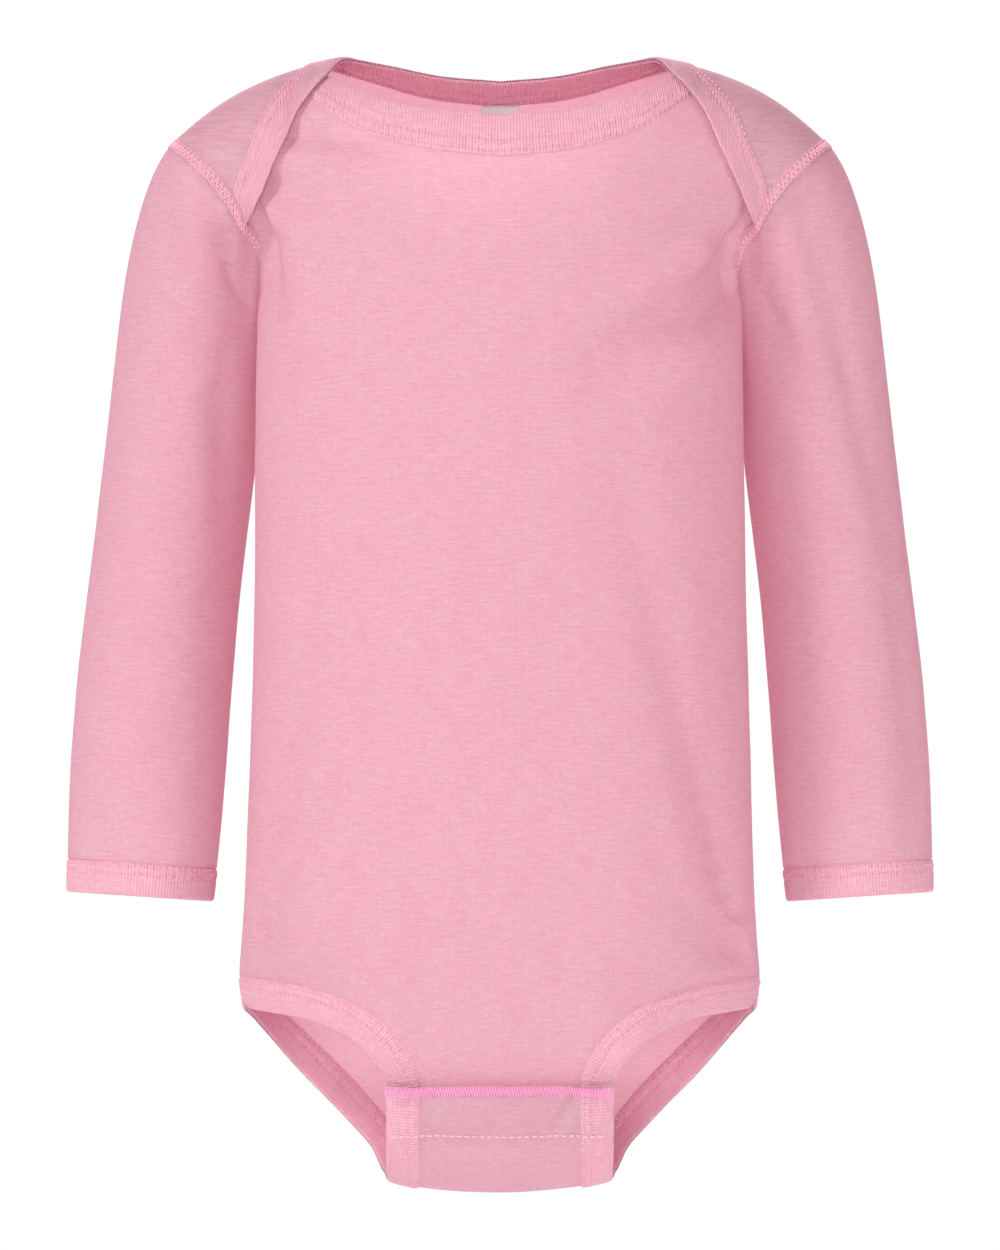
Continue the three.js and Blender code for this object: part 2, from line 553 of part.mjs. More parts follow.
// Closed snap between the flap and the front's crotch end.
function snapMesh(x, name, material) {
  const v = SNAP.below / BACK_ROWS[BACK_ROWS.length - 1].at;
  const frontV = (18 - SNAP.below) / FRONT_ROWS[FRONT_ROWS.length - 1].at;
  const u = x / BACK_ROWS[0].edgeX;
  const flap = panelPoint(BACK, u, v);
  const front = panelPoint(FRONT, u, frontV);
  const geometry = new THREE.CylinderGeometry(SNAP.radius, SNAP.radius, SNAP.thickness, 16);
  const mesh = new THREE.Mesh(geometry, material);
  mesh.name = name;
  mesh.position.copy(flap.add(front).multiplyScalar(0.5));
  mesh.quaternion.setFromUnitVectors(new THREE.Vector3(0, 1, 0), panelNormal(BACK, u, v));
  return mesh;
}

const materials = {
  jersey: new THREE.MeshStandardMaterial({ color: '#f7afc3', roughness: 0.9, metalness: 0 }),
  rib: new THREE.MeshStandardMaterial({ color: '#f8abc3', roughness: 0.88, metalness: 0 }),
  label: new THREE.MeshStandardMaterial({ color: '#eef1f1', roughness: 0.6, metalness: 0 }),
  snap: new THREE.MeshStandardMaterial({ color: '#e9b9c6', roughness: 0.4, metalness: 0 }),
};

const garment = new THREE.Group();

function add(name, geometry, material) {
  const mesh = new THREE.Mesh(geometry, material);
  mesh.name = name;
  garment.add(mesh);
}

const frontSeam = shiftedEdge(FRONT, FRONT_NECK, BINDING + SEAM_GAP);
const backSeam = shiftedEdge(BACK, BACK_NECK, BINDING + SEAM_GAP);
const frontGrid = panelGrid(FRONT, frontSeam, 'front');
const backGrid = panelGrid(BACK, backSeam, 'back');
add('front', wall(frontGrid, JERSEY / 2), materials.jersey);
add('back', wall(backGrid, JERSEY / 2), materials.jersey);
add('front_neck_binding', wall(neckBinding(FRONT, FRONT_NECK), halfWalls), materials.rib);
add('back_neck_binding', wall(neckBinding(BACK, BACK_NECK), halfWalls), materials.rib);

for (const [word, side, folds] of [['left', 1, LEFT_SLEEVE_FOLDS], ['right', -1, RIGHT_SLEEVE_FOLDS]]) {
  const sleeve = sleeveGrid(folds, side);
  add(`${word}_sleeve`, wall(sleeve, JERSEY / 2, true), materials.jersey);
  const cuff = cuffGrid(sleeve, side);
  const ring = FOLDED_EDGE.map((_, k) => cuff.map((cells) => cells[k]));
  const cuffWall = (sign) =>
    ring.map((cells, k) => cells.map(({ point, normal }) => point.clone().addScaledVector(normal, sign * halfWalls[k])));
  add(`${word}_cuff`, shell(cuffWall(1), cuffWall(-1), true), materials.rib);
  add(`${word}_leg_binding`, wall(legBinding(frontGrid, backGrid, side), halfWalls), materials.rib);
}

add('neck_label', wall(labelGrid(backSeam), LABEL.thickness / 2), materials.label);
for (const [k, place] of ['right', 'middle', 'left'].entries()) {
  garment.add(snapMesh((k - 1) * SNAP.spacing, `${place}_snap`, materials.snap));
}

export default garment;
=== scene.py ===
# %% [markdown]
# # A baby bodysuit in pink jersey
#
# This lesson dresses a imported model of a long-sleeved baby bodysuit. The model gives the cut and
# the size. Here each piece of cloth gets its knit, its folds and its sewing. The frame is loaded
# first and never changed: every piece made below stands where one of its solids stands.

# %% Load the frame
import json
import math

import bpy
import numpy as np
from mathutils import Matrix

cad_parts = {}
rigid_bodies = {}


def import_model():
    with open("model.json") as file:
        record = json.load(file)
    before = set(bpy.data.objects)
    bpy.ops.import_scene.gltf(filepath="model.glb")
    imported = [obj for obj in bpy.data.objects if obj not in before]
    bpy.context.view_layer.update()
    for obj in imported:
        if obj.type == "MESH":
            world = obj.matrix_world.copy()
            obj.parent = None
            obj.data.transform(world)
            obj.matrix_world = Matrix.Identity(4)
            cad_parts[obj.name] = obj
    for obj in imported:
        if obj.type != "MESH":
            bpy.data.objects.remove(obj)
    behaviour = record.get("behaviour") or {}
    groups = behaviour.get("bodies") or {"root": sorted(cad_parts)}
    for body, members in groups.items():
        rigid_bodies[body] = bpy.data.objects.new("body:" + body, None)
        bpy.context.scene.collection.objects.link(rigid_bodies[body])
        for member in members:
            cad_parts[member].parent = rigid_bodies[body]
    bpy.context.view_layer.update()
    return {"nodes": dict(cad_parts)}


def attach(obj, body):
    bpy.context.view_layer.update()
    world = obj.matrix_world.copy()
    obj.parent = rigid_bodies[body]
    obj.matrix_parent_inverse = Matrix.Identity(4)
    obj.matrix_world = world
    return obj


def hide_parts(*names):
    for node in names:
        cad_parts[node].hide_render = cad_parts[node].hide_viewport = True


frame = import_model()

print("solids in the frame:", len(frame["nodes"]))

# %% [markdown]
# ## Sizes
#
# A maker writes a pattern in millimetres, so this script does too. Blender works in metres, and the
# one place where a mesh is made turns the numbers over. The size is that of a child of 12 months.

# %% Cloth, binding and seam sizes
MM = 0.001
JERSEY_HALF = 0.3  # half the thickness of the jersey
BINDING_HALF = 0.85  # half the thickness of a folded rib binding
BINDING = 12.0  # width of every binding
LAP_RISE = 2.2  # from the front's middle to the middle of the lap over it
SEAM_TUCK = 0.02  # how far a panel runs on under its binding, in the units of v
STEP = 1e-3  # for slopes

SHOULDER_TIP_X = 116.2
NECK_POINT_RISE = 0.1
SHOULDER_DROP = 33.2
SHOULDER_ROUNDING = 3.6
ARMHOLE_BULGE = 29.0
ARMHOLE_SPREAD = 2.5
BODY_SQUARENESS = 0.1

print("binding", BINDING, "mm wide, jersey", 2 * JERSEY_HALF, "mm thick")

# %% [markdown]
# ## The cut of the two panels
#
# Each row below is one level of a panel, from its crotch end up to the armpit. It gives the middle
# of the cloth and its edge: along the leg first, and then up the side seam. The last column says
# how round the level is, from a flat strip at the crotch to the oval of the body. The same numbers
# made the solids, so the cloth lies on them. Only the edges of the neck and the laps are drawn anew:
# thin cloth can lap more steeply there than a solid wall can.

# %% Levels of the front and back
LEVEL = ("at", "mid_y", "mid_z", "edge_x", "edge_y", "edge_z", "round")
FRONT_LEVELS = [
    (0, -36.0, -378, 28.0, -34.5, -377.5, 0),
    (18, -40.5, -360, 28.0, -39.0, -360.5, 0),
    (32, -44.5, -346, 31.0, -42.0, -350.0, 0.1),
    (46, -48.5, -332, 38.5, -43.5, -340.5, 0.3),
    (60, -52.5, -319, 50.5, -41.5, -332.0, 0.5),
    (75, -56.0, -305, 67.0, -33.0, -326.5, 0.75),
    (87, -58.0, -293, 82.0, -18.0, -324.8, 0.92),
    (97, -59.5, -283, 91.8, 0.0, -324.2, 1),
    (122, -61.0, -258, 89.8, -2.0, -294, 1),
    (160, -61.5, -220, 87.9, -4.5, -240, 1),
    (200, -60.0, -180, 86.5, -7.0, -188, 1),
    (245, -57.5, -135, 85.9, -7.0, -134, 1),
    (292, -56.5, -88, 85.5, 0.0, -82, 1),
]
BACK_LEVELS = [
    (0, -44.6, -360, 28.0, -43.1, -360.5, 0),
    (18, -40.1, -378, 28.0, -38.6, -377.5, 0),
    (32, -31.5, -391, 28.0, -30.5, -389.5, 0),
    (45, -19.0, -398.3, 28.0, -19.0, -396.2, 0),
    (58, -5.0, -400, 28.5, -6.0, -397.6, 0),
    (72, 9.0, -397, 30.5, 7.0, -393.6, 0.05),
    (90, 24.5, -388, 36.3, 20.0, -382.5, 0.15),
    (112, 39.0, -371, 46.8, 31.0, -370.0, 0.3),
    (137, 49.0, -347, 59.5, 37.0, -356.8, 0.5),
    (165, 55.5, -320, 74.3, 33.0, -342.5, 0.72),
    (188, 58.5, -297, 85.8, 19.5, -331.0, 0.9),
    (202, 59.5, -283, 91.8, 0.0, -324.2, 1),
    (227, 59.5, -258, 89.8, -2.0, -294, 1),
    (265, 57.0, -220, 87.9, -4.5, -240, 1),
    (305, 53.0, -180, 86.5, -7.0, -188, 1),
    (350, 50.5, -135, 85.9, -7.0, -134, 1),
    (397, 50.0, -88, 85.5, 0.0, -82, 1),
]
SIDE_SEAM_AT = {"front": 97, "back": 202}  # millimetres along the middle where the side seam starts

# %% Bound edges of the neck and the laps
NECK = ("at", "up")
FRONT_NECK = [
    (0, 1.506),
    (0.2, 1.535),
    (0.365, 1.6),
    (0.46, 1.685),
    (0.53, 1.79),
    (0.62, 1.95),
    (0.74, 2.12),
    (0.87, 2.3),
    (1, 2.48),
]
BACK_NECK = [
    (0, 1.702),
    (0.2, 1.75),
    (0.36, 1.865),
    (0.43, 1.955),
    (0.465, 2.06),
    (0.5, 2.235),
    (0.545, 2.335),
    (0.61, 2.465),
    (0.65, 2.555),
    (0.715, 2.638),
    (0.78, 2.698),
    (0.825, 2.725),
    (0.9, 2.745),
    (1, 2.76),
]

# %% Rings of the sleeve
RING = ("at", "x", "y", "z", "half_width", "half_depth")
SLEEVE_RINGS = [
    (0, 111.2, 18.5, -116, 26.8, 28.5),
    (25, 114.0, 18.5, -141, 27.0, 27.0),
    (50, 116.8, 17.8, -166, 27.0, 25.8),
    (77, 119.8, 16.0, -193, 27.1, 24.8),
    (110, 122.9, 15.0, -226, 27.5, 23.0),
    (145, 125.5, 13.5, -261, 27.3, 21.5),
    (169, 127.1, 12.5, -285, 26.4, 20.3),
]
SLEEVE_LENGTH = 169
HEAD_LEAVE = 55  # pull of the head's curve at the armhole
HEAD_ARRIVE = 75
print("levels:", len(FRONT_LEVELS), "front,", len(BACK_LEVELS), "back; sleeve rings:", len(SLEEVE_RINGS))

# %% [markdown]
# ## Smooth curves through short tables
#
# A table row is a place where the pattern is measured, and the cloth between rows has to flow. A
# cubic curve through the rows does that. At the foot of the side seam the edge really has a corner,
# so the slope there is taken from one side only.


# %% Read a column of a table at any station
def smoothstep(x, low, high):
    t = np.clip((np.asarray(x, float) - low) / (high - low), 0, 1)
    return t * t * (3 - 2 * t)


def lerp(a, b, t):
    return a + (b - a) * t


def column(table, names, name, at, corner=None):
    place = np.array([row[names.index("at")] for row in table], float)
    value = np.array([row[names.index(name)] for row in table], float)
    at = np.asarray(at, float)
    last = len(place) - 1
    k = np.clip(np.searchsorted(place, at, side="left") - 1, 0, last - 1)
    rise = np.diff(value) / np.diff(place)
    middle = np.empty(len(place))
    middle[1:-1] = (value[2:] - value[:-2]) / (place[2:] - place[:-2])
    middle[0], middle[-1] = rise[0], rise[-1]
    leaving, arriving = middle.copy(), middle.copy()
    if corner is not None:
        at_corner = int(np.argmin(abs(place - corner)))
        leaving[at_corner] = rise[at_corner]
        arriving[at_corner] = rise[at_corner - 1]
    span = place[k + 1] - place[k]
    t = (at - place[k]) / span
    curve = (
        (2 * t**3 - 3 * t**2 + 1) * value[k]
        + (t**3 - 2 * t**2 + t) * span * leaving[k]
        + (3 * t**2 - 2 * t**3) * value[k + 1]
        + (t**3 - t**2) * span * arriving[k + 1]
    )
    beyond = value[-1] + (at - place[-1]) * rise[-1]
    return np.where(t > 1, beyond, curve)


print("front edge at the side seam:", column(FRONT_LEVELS, LEVEL, "edge_x", 97.0))

# %% [markdown]
# ## The body as one smooth surface
#
# Cloth on a figure is easiest to describe by two numbers. The first, u, runs across a panel from
# the right side seam (-1) to the left one (1). The second, v, runs up: 0 at the crotch end, 1 at
# the armpit and 2 on top of the shoulder. Past 2 it runs down the other side, which is how the
# laps of this neck come to lie on each other.

# %% Front and back faces
FRONT = {"name": "front", "side": -1, "levels": FRONT_LEVELS, "fullness": 0.05}
BACK = {"name": "back", "side": 1, "levels": BACK_LEVELS, "fullness": 0.18}
FRONT["other"] = BACK
BACK["other"] = FRONT


def level_point(face, at, u):
    def value(name):
        return column(face["levels"], LEVEL, name, at, SIDE_SEAM_AT[face["name"]])

    cos = np.cos(u * math.pi / 2)
    sin = np.sin(u * math.pi / 2)
    roundness = value("round")
    across = lerp(u, sin * (1 + BODY_SQUARENESS * cos**2), roundness)
    forward = lerp(1 - u**2, cos * (1 + BODY_SQUARENESS * sin**2), roundness)
    x = value("edge_x") * across
    y = lerp(value("edge_y"), value("mid_y"), forward)
    z = lerp(value("edge_z"), value("mid_z"), 1 - u**2)
    return np.stack([x, y, z], -1)


def yoke_point(face, u, v):
    low = level_point(face, np.full_like(u, face["levels"][-1][0]), u)
    reach = abs(u)
    top_z = NECK_POINT_RISE - SHOULDER_DROP * reach**SHOULDER_ROUNDING
    rise = np.sin((v - 1) * math.pi / 2)
    run = np.cos((v - 1) * math.pi / 2)
    full = face["fullness"] * (1 - u**2)
    bulge = ARMHOLE_BULGE * reach**ARMHOLE_SPREAD * np.sin((v - 1) * math.pi)
    x = lerp(low[..., 0], SHOULDER_TIP_X * u, rise**2)
    y = low[..., 1] * run * (1 + full * rise**2) + face["side"] * bulge
    z = lerp(low[..., 2], top_z, rise * (1 + full * run**2))
    return np.stack([x, y, z], -1)


def smooth_body(face, u, v):
    u, v = np.broadcast_arrays(np.asarray(u, float), np.asarray(v, float))
    end = face["levels"][-1][0]
    below = level_point(face, np.clip(v, -0.1, 1) * end, u)
    above = yoke_point(face, u, np.clip(v, 1, 2))
    over = yoke_point(face["other"], u, np.clip(4 - v, 1, 2))
    point = np.where((v <= 1)[..., None], below, above)
    return np.where((v > 2)[..., None], over, point)


def unit(vector):
    return vector / np.maximum(np.linalg.norm(vector, axis=-1, keepdims=True), 1e-9)


def normal_of(surface, u, v):
    along_u = surface(u + STEP, v) - surface(u - STEP, v)
    along_v = surface(u, v + STEP) - surface(u, v - STEP)
    return unit(np.cross(along_u, along_v))


def grid_normals(point, wraps=False):
    """Normals of a grid of points, whose columns run along u and whose rows run along v."""
    if wraps:
        along_u = np.roll(point, -1, 1) - np.roll(point, 1, 1)
    else:
        along_u = np.gradient(point, axis=1)
    return unit(np.cross(along_u, np.gradient(point, axis=0)))


print("top of the left shoulder:", smooth_body(FRONT, 0.5, 2.0).round(1))

# %% [markdown]
# ## Folds placed one by one
#
# Jersey hangs in soft troughs that start where something pulls: under the lap's corner, at the
# armhole, at the hip. Each fold is a row: it starts, passes and ends at points seen from the front
# or back (x, z), with a depth and a width at both ends. A bell curve across it gives a soft bottom
# and no hard line. No two are alike, as on real cloth. The first tables hold the folds that the
# solids have too. The fine ones are the small creases that only thin cloth makes.

# %% Folds of the body and the sleeves
FOLD = ("x0", "z0", "x1", "z1", "x2", "z2", "depth", "end_depth", "width", "end_width")
FRONT_FOLDS = [
    (86, -70, 78, -88, 38, -108, -3.4, -0.6, 8, 13),
    (84, -73, 70, -92, 46, -112, 1.6, 0.2, 6, 12),
    (66, -65, 50, -76, 34, -86, -1.1, -0.4, 9, 10),
    (42, -146, 54, -195, 84, -312, -0.5, -2.4, 9, 8),
    (53, -276, 66, -302, 83, -317, -0.3, -1.8, 6, 5),
    (-73, -30, -54, -32, -36, -29, -1.8, -0.3, 5, 6),
    (-83, -46, -60, -57, -38, -52, -2.4, -0.3, 6, 8),
    (-86, -68, -81, -80, -77, -96, -2.4, -0.3, 7, 8),
    (-61, -166, -69, -226, -85, -314, -0.3, -1.4, 6, 6),
    (-24, -312, -26, -330, -24, -348, -0.9, -0.4, 8, 8),
]
BACK_FOLDS = [
    (84, -68, 66, -92, 34, -118, -2.8, -0.3, 7, 14),
    (-84, -66, -62, -84, -40, -96, -2.6, -0.4, 6, 12),
    (-80, -88, -62, -120, -50, -150, -1.6, -0.3, 7, 12),
    (40, -160, 52, -214, 80, -300, -0.3, -2.2, 10, 9),
    (-50, -186, -56, -240, -78, -304, -0.3, -1.8, 9, 7),
    (12, -300, 18, -336, 16, -368, -0.8, -0.5, 10, 8),
]
LEFT_SLEEVE_FOLDS = {
    "front": [
        (103, -52, 117, -84, 131, -148, -2.2, -0.8, 6, 7),
        (135, -120, 143, -190, 150, -272, -0.4, -1.5, 6, 8),
        (96, -96, 104, -120, 118, -138, -0.8, -0.2, 6, 8),
    ],
    "back": [
        (104, -60, 114, -96, 122, -150, -1.8, -0.4, 7, 8),
        (98, -190, 118, -204, 140, -206, -1.2, -0.3, 6, 8),
    ],
}
RIGHT_SLEEVE_FOLDS = {
    "front": [
        (104, -42, 101, -50, 99, -60, -1.8, -0.6, 5, 5),
        (96, -66, 92, -80, 91, -98, -1.8, -0.4, 4, 5),
        (117, -44, 119, -60, 120, -80, -0.9, -0.2, 5, 7),
        (99, -120, 97, -150, 96, -176, -1.0, -0.3, 6, 7),
    ],
    "back": [
        (102, -58, 110, -92, 124, -136, -2.0, -0.4, 7, 8),
        (100, -178, 120, -196, 142, -192, -1.1, -0.3, 6, 8),
    ],
}
FINE_FRONT_FOLDS = [
    (86.4, -56, 86, -70, 74, -79, -1.5, -1.3, 2.4, 2.8),
    (78, -75, 67, -87, 34, -107, -1.5, -0.3, 3.4, 9),
    (82, -66, 70, -66, 52, -72, -0.8, -0.2, 3, 6),
    (71, -72, 61, -81, 32, -93, 2.4, 0.9, 6, 11),
    (84, -77, 72, -95, 40, -114, -4.2, -1.6, 7, 12),
    (-85.6, -57, -81, -70, -78, -92, -1.6, -0.5, 2.4, 3.4),
    (-72, -62, -70, -76, -66, -92, 0.9, 0.3, 5, 7),
    (-87, -54, -83, -64, -79, -90, -1.6, -0.4, 2.2, 4),
    (-84, -50, -72, -60, -50, -66, -1.0, -0.2, 3, 7),
    (-79, -66, -66, -78, -48, -84, -0.8, -0.2, 3, 8),
    (-64, -26, -52, -34, -36, -38, -0.7, -0.2, 3, 6),
    (74, -40, 64, -44, 46, -42, -0.7, -0.2, 3, 6),
    (66, -240, 76, -270, 84, -300, -0.4, -1.2, 5, 3.4),
    (-58, -250, -70, -282, -84, -308, -0.3, -1.3, 5, 3.4),
    (50, -290, 62, -306, 76, -318, -0.4, -1.1, 4, 3),
    (60, -330, 50, -338, 42, -350, -0.7, -0.3, 3, 3),
    (-64, -328, -54, -336, -44, -348, -0.6, -0.3, 3, 4),
    (-30, -300, -27, -322, -25, -344, -0.8, -0.3, 4, 5),
    (20, -306, 26, -326, 25, -346, -0.6, -0.3, 4, 5),
    (-30, -222, 4, -216, 36, -226, 0.5, 0.2, 14, 16),
    (-10, -120, 0, -180, -8, -250, 0.5, 0.4, 18, 20),
]
FINE_BACK_FOLDS = [
    (26, -363, 23, -370, 19, -376, -1.2, -0.4, 2.2, 2.6),
    (-20, -380, 0, -383, 18, -381, -0.7, -0.4, 4, 4),
    (-62, -30, -50, -36, -34, -40, -0.8, -0.3, 4, 6),
    (48, -356, 34, -362, 22, -360, -0.9, -0.3, 5, 6),
    (-50, -352, -34, -360, -20, -356, -0.8, -0.3, 5, 7),
    (82, -70, 68, -84, 50, -92, -1.1, -0.3, 3, 7),
    (-82, -72, -70, -88, -52, -98, -1.0, -0.3, 3, 7),
    (-8, -140, 6, -190, -4, -250, 0.6, 0.4, 20, 22),
]
FINE_SLEEVE_FOLDS = {
    "left": {
        "front": [
            (107, -36, 117, -66, 122, -100, -0.9, -0.5, 3.4, 4.5),
            (122, -104, 130, -136, 137, -170, -0.6, -0.8, 4, 5),
            (140, -190, 145, -230, 149, -262, -0.8, -0.5, 4, 5),
            (92, -84, 97, -96, 104, -104, -1.0, -0.2, 2.4, 4),
            (98, -176, 112, -186, 130, -184, -0.4, -0.2, 5, 7),
        ],
        "back": [(94, -92, 104, -110, 118, -118, -0.9, -0.2, 3, 6)],
    },
    "right": {
        "front": [
            (95, -76, 91.5, -82, 89, -88, -1.3, -0.9, 2.2, 2.6),
            (118, -40, 119.5, -56, 120, -70, -0.8, -0.2, 3, 4),
            (97, -104, 96, -146, 97, -190, -0.6, -0.3, 3.4, 4),
            (104, -196, 118, -204, 136, -200, -0.4, -0.2, 5, 7),
            (138, -120, 145, -160, 150, -210, -0.5, -0.3, 5, 6),
        ],
        "back": [(96, -90, 106, -108, 120, -114, -0.9, -0.2, 3, 6)],
    },
}
FOLDS_DEEPER = 1.6  # thin cloth takes the folds of the solids this much deeper
FINE_DEEPER = 1.3
FOLD_STEPS = 24


def fold_height(folds, x, z):
    height = np.zeros_like(x)
    for row in folds:
        fold = dict(zip(FOLD, row))
        nearest = np.full_like(x, np.inf)
        share = np.zeros_like(x)
        for k in range(FOLD_STEPS + 1):
            t = k / FOLD_STEPS
            cx = (1 - t) ** 2 * fold["x0"] + 2 * t * (1 - t) * fold["x1"] + t**2 * fold["x2"]
            cz = (1 - t) ** 2 * fold["z0"] + 2 * t * (1 - t) * fold["z1"] + t**2 * fold["z2"]
            distance = np.hypot(x - cx, z - cz)
            closer = distance < nearest
            nearest = np.where(closer, distance, nearest)
            share = np.where(closer, t, share)
        width = lerp(fold["width"], fold["end_width"], share)
        depth = lerp(fold["depth"], fold["end_depth"], share)
        height += depth * np.exp(-((nearest / width) ** 2))
    return height


def deepened(folds, times):
    return [row[:6] + (times * row[6], times * row[7]) + row[8:] for row in folds]


def all_folds(main, fine):
    return deepened(main, FOLDS_DEEPER) + deepened(fine, FINE_DEEPER)


FRONT["folds"] = all_folds(FRONT_FOLDS, FINE_FRONT_FOLDS)
BACK["folds"] = all_folds(BACK_FOLDS, FINE_BACK_FOLDS)
print("folds on the body:", len(FRONT["folds"]) + len(BACK["folds"]))

# %% [markdown]
# ## Layers at the shoulder
#
# The back's lap comes over the shoulder and lies on the front, and the front's own top edge runs on
# under the back. So the front is the lower layer on both sides of the shoulder, and the pair shifts
# smoothly on top, from raising the lap to sinking the front. At the armhole all layers are caught in
# one seam, and there they are drawn together.


# %% Cloth surface of a panel
SHIFTS = (1.6, 2.4)  # heights in v, counted up the front and down the back
DOUBLES = (1.05, 1.3)
PARTS_AGAIN = (2.55, 2.8)
DRAWN_FROM = 0.75  # in u


def layer_height(face, u, v):
    front_v = v if face is FRONT else 4 - v
    on_top = 1 - smoothstep(front_v, *SHIFTS)
    doubled = smoothstep(front_v, *DOUBLES) * (1 - smoothstep(front_v, *PARTS_AGAIN))
    drawn = LAP_RISE / 2 * smoothstep(abs(u), DRAWN_FROM, 1) * doubled * (1 - 2 * on_top)
    return drawn + LAP_RISE * (on_top - 1 if face is FRONT else on_top)


LAP_SHARE = 0.35  # the doubled lap follows the folds under it only so far
ARMHOLE_HOLD = 0.75  # the sewn armhole flattens the folds beside it by this share
ARMPIT_END = 1.1
BESIDE_SEAM = 0.84
BESIDE_ARMHOLE = 0.86
SLOW_RIPPLE = 0.26  # millimetres of unevenness that every cloth has
QUICK_RIPPLE = 0.08


def ripple(x, z):
    """Uneven waves. Each divisor is a length in millimetres, and no two waves keep step."""
    slow = np.sin(x / 17 + 0.6 * np.sin(z / 41)) * np.sin(z / 29 + 0.5 * np.sin(x / 37 + 1.3))
    quick = np.sin(x / 6.1 + z / 14.3 + 1.1 * np.sin(z / 19)) * np.sin(z / 11.7 - x / 23)
    return SLOW_RIPPLE * slow + QUICK_RIPPLE * quick


def body_height(face, u, v):
    point = smooth_body(face, u, v)
    x, z = point[..., 0], point[..., 2]
    over = v > 2
    height = np.empty_like(x)
    height[~over] = fold_height(face["folds"], x[~over], z[~over])
    height[over] = LAP_SHARE * fold_height(face["other"]["folds"], x[over], z[over])
    above_armpit = smoothstep(v, 1, ARMPIT_END)
    beside_seam = smoothstep(abs(u), BESIDE_SEAM, 1) * (1 - above_armpit)
    beside_armhole = ARMHOLE_HOLD * smoothstep(abs(u), BESIDE_ARMHOLE, 1) * above_armpit
    return (1 - beside_seam - beside_armhole) * height + ripple(x, z)


def body_normal(face, u, v):
    return -face["side"] * normal_of(lambda a, b: smooth_body(face, a, b), u, v)


def panel_point(face, u, v, raised=0.0):
    """A point of the folded cloth, raised by so many millimetres."""
    u, v = np.broadcast_arrays(np.asarray(u, float), np.asarray(v, float))
    height = layer_height(face, u, v) + body_height(face, u, v) + raised
    return smooth_body(face, u, v) + body_normal(face, u, v) * height[..., None]


print("lap over front at the neck:", round(float(layer_height(BACK, 0.5, 2.3)), 2), "mm")


# %% [markdown]
# ## Moving an edge along the cloth
#
# A binding is a strip of one width, so its sewn edge is the bound edge moved along the cloth. The
# step in u and v that gives a move in millimetres comes from the two directions of the surface.


# %% Shift a neck edge by a distance on the cloth
THROAT_REACH = 0.46  # in the units of u
THROAT_EXTRA = 4.0
EDGE_POINTS = 41


def binding_width(face, u):
    """The front's binding is stretched wider at the throat, where it stands up."""
    at_throat = np.clip(1 - (np.asarray(u) / THROAT_REACH) ** 2, 0, 1)
    return BINDING + (THROAT_EXTRA * at_throat if face is FRONT else 0)


def shifted_edge(face, edge, width):
    u = np.linspace(0, 1, EDGE_POINTS)
    distance = np.broadcast_to(width(face, u), u.shape)[:, None]

    def up(a):
        return column(edge, NECK, "up", abs(a))

    v = up(u)
    here = smooth_body(face, u, v)
    ahead = smooth_body(face, u + STEP, up(u + STEP))
    behind = smooth_body(face, u - STEP, up(u - STEP))
    tangent = unit(ahead - behind)
    along_u = (smooth_body(face, u + STEP, v) - here) / STEP
    along_v = (smooth_body(face, u, v + STEP) - here) / STEP
    normal = unit(np.cross(along_u, along_v))
    away = np.cross(tangent, normal) * distance
    uu = (along_u * along_u).sum(-1)
    uv = (along_u * along_v).sum(-1)
    vv = (along_v * along_v).sum(-1)
    au = (along_u * away).sum(-1)
    av = (along_v * away).sum(-1)
    det = uu * vv - uv**2
    moved_u = u + (vv * au - uv * av) / det
    moved_v = v + (uu * av - uv * au) / det
    rows = [(moved_u[0], moved_v[0])]
    for a, b in zip(moved_u[1:], moved_v[1:]):
        if a > rows[-1][0] + 1e-4:
            rows.append((a, b))
    return rows


front_seam = shifted_edge(FRONT, FRONT_NECK, binding_width)
back_seam = shifted_edge(BACK, BACK_NECK, binding_width)
print("front seam at the middle: v =", round(float(column(front_seam, NECK, "up", 0.0)), 3))


# %% [markdown]
# ## From a grid of points to a piece of cloth
#
# Cloth has two faces and an edge. A grid of points with a normal at each one becomes an outer face,
# an inner face and a rim, all in one closed mesh. The UV map is in metres on the cloth, so a knit
# drawn in it has its real size and bends with the folds.


# %% Make a mesh from a grid
def grid_faces(rows, columns, offset, flipped, wraps):
    last = columns if wraps else columns - 1
    j, i = np.meshgrid(np.arange(rows - 1), np.arange(last), indexing="ij")
    right = (i + 1) % columns
    low, high = j * columns, (j + 1) * columns
    quads = np.stack([low + i, low + right, high + right, high + i], -1).reshape(-1, 4) + offset
    return quads[:, ::-1] if flipped else quads


def rim_faces(line_a, line_b):
    return np.stack([line_a[:-1], line_b[:-1], line_b[1:], line_a[1:]], -1)


def face_out(points, quads):
    a, b, c, d = (points[quads[:, k]] for k in range(4))
    volume = (a * np.cross(b, c)).sum() + (a * np.cross(c, d)).sum()
    return quads[:, ::-1] if volume < 0 else quads


def new_piece(name, points, quads, uv, material):
    mesh = bpy.data.meshes.new(name)
    mesh.from_pydata((points * MM).tolist(), [], quads.tolist())
    layer = mesh.uv_layers.new(name="cloth")
    corners = np.empty(len(mesh.loops), np.int32)
    mesh.loops.foreach_get("vertex_index", corners)
    layer.data.foreach_set("uv", (uv[corners] * MM).ravel())
    mesh.polygons.foreach_set("use_smooth", np.ones(len(mesh.polygons), bool))
    mesh.materials.append(material)
    piece = bpy.data.objects.new(name, mesh)
    bpy.context.scene.collection.objects.link(piece)
    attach(piece, "root")
    return piece


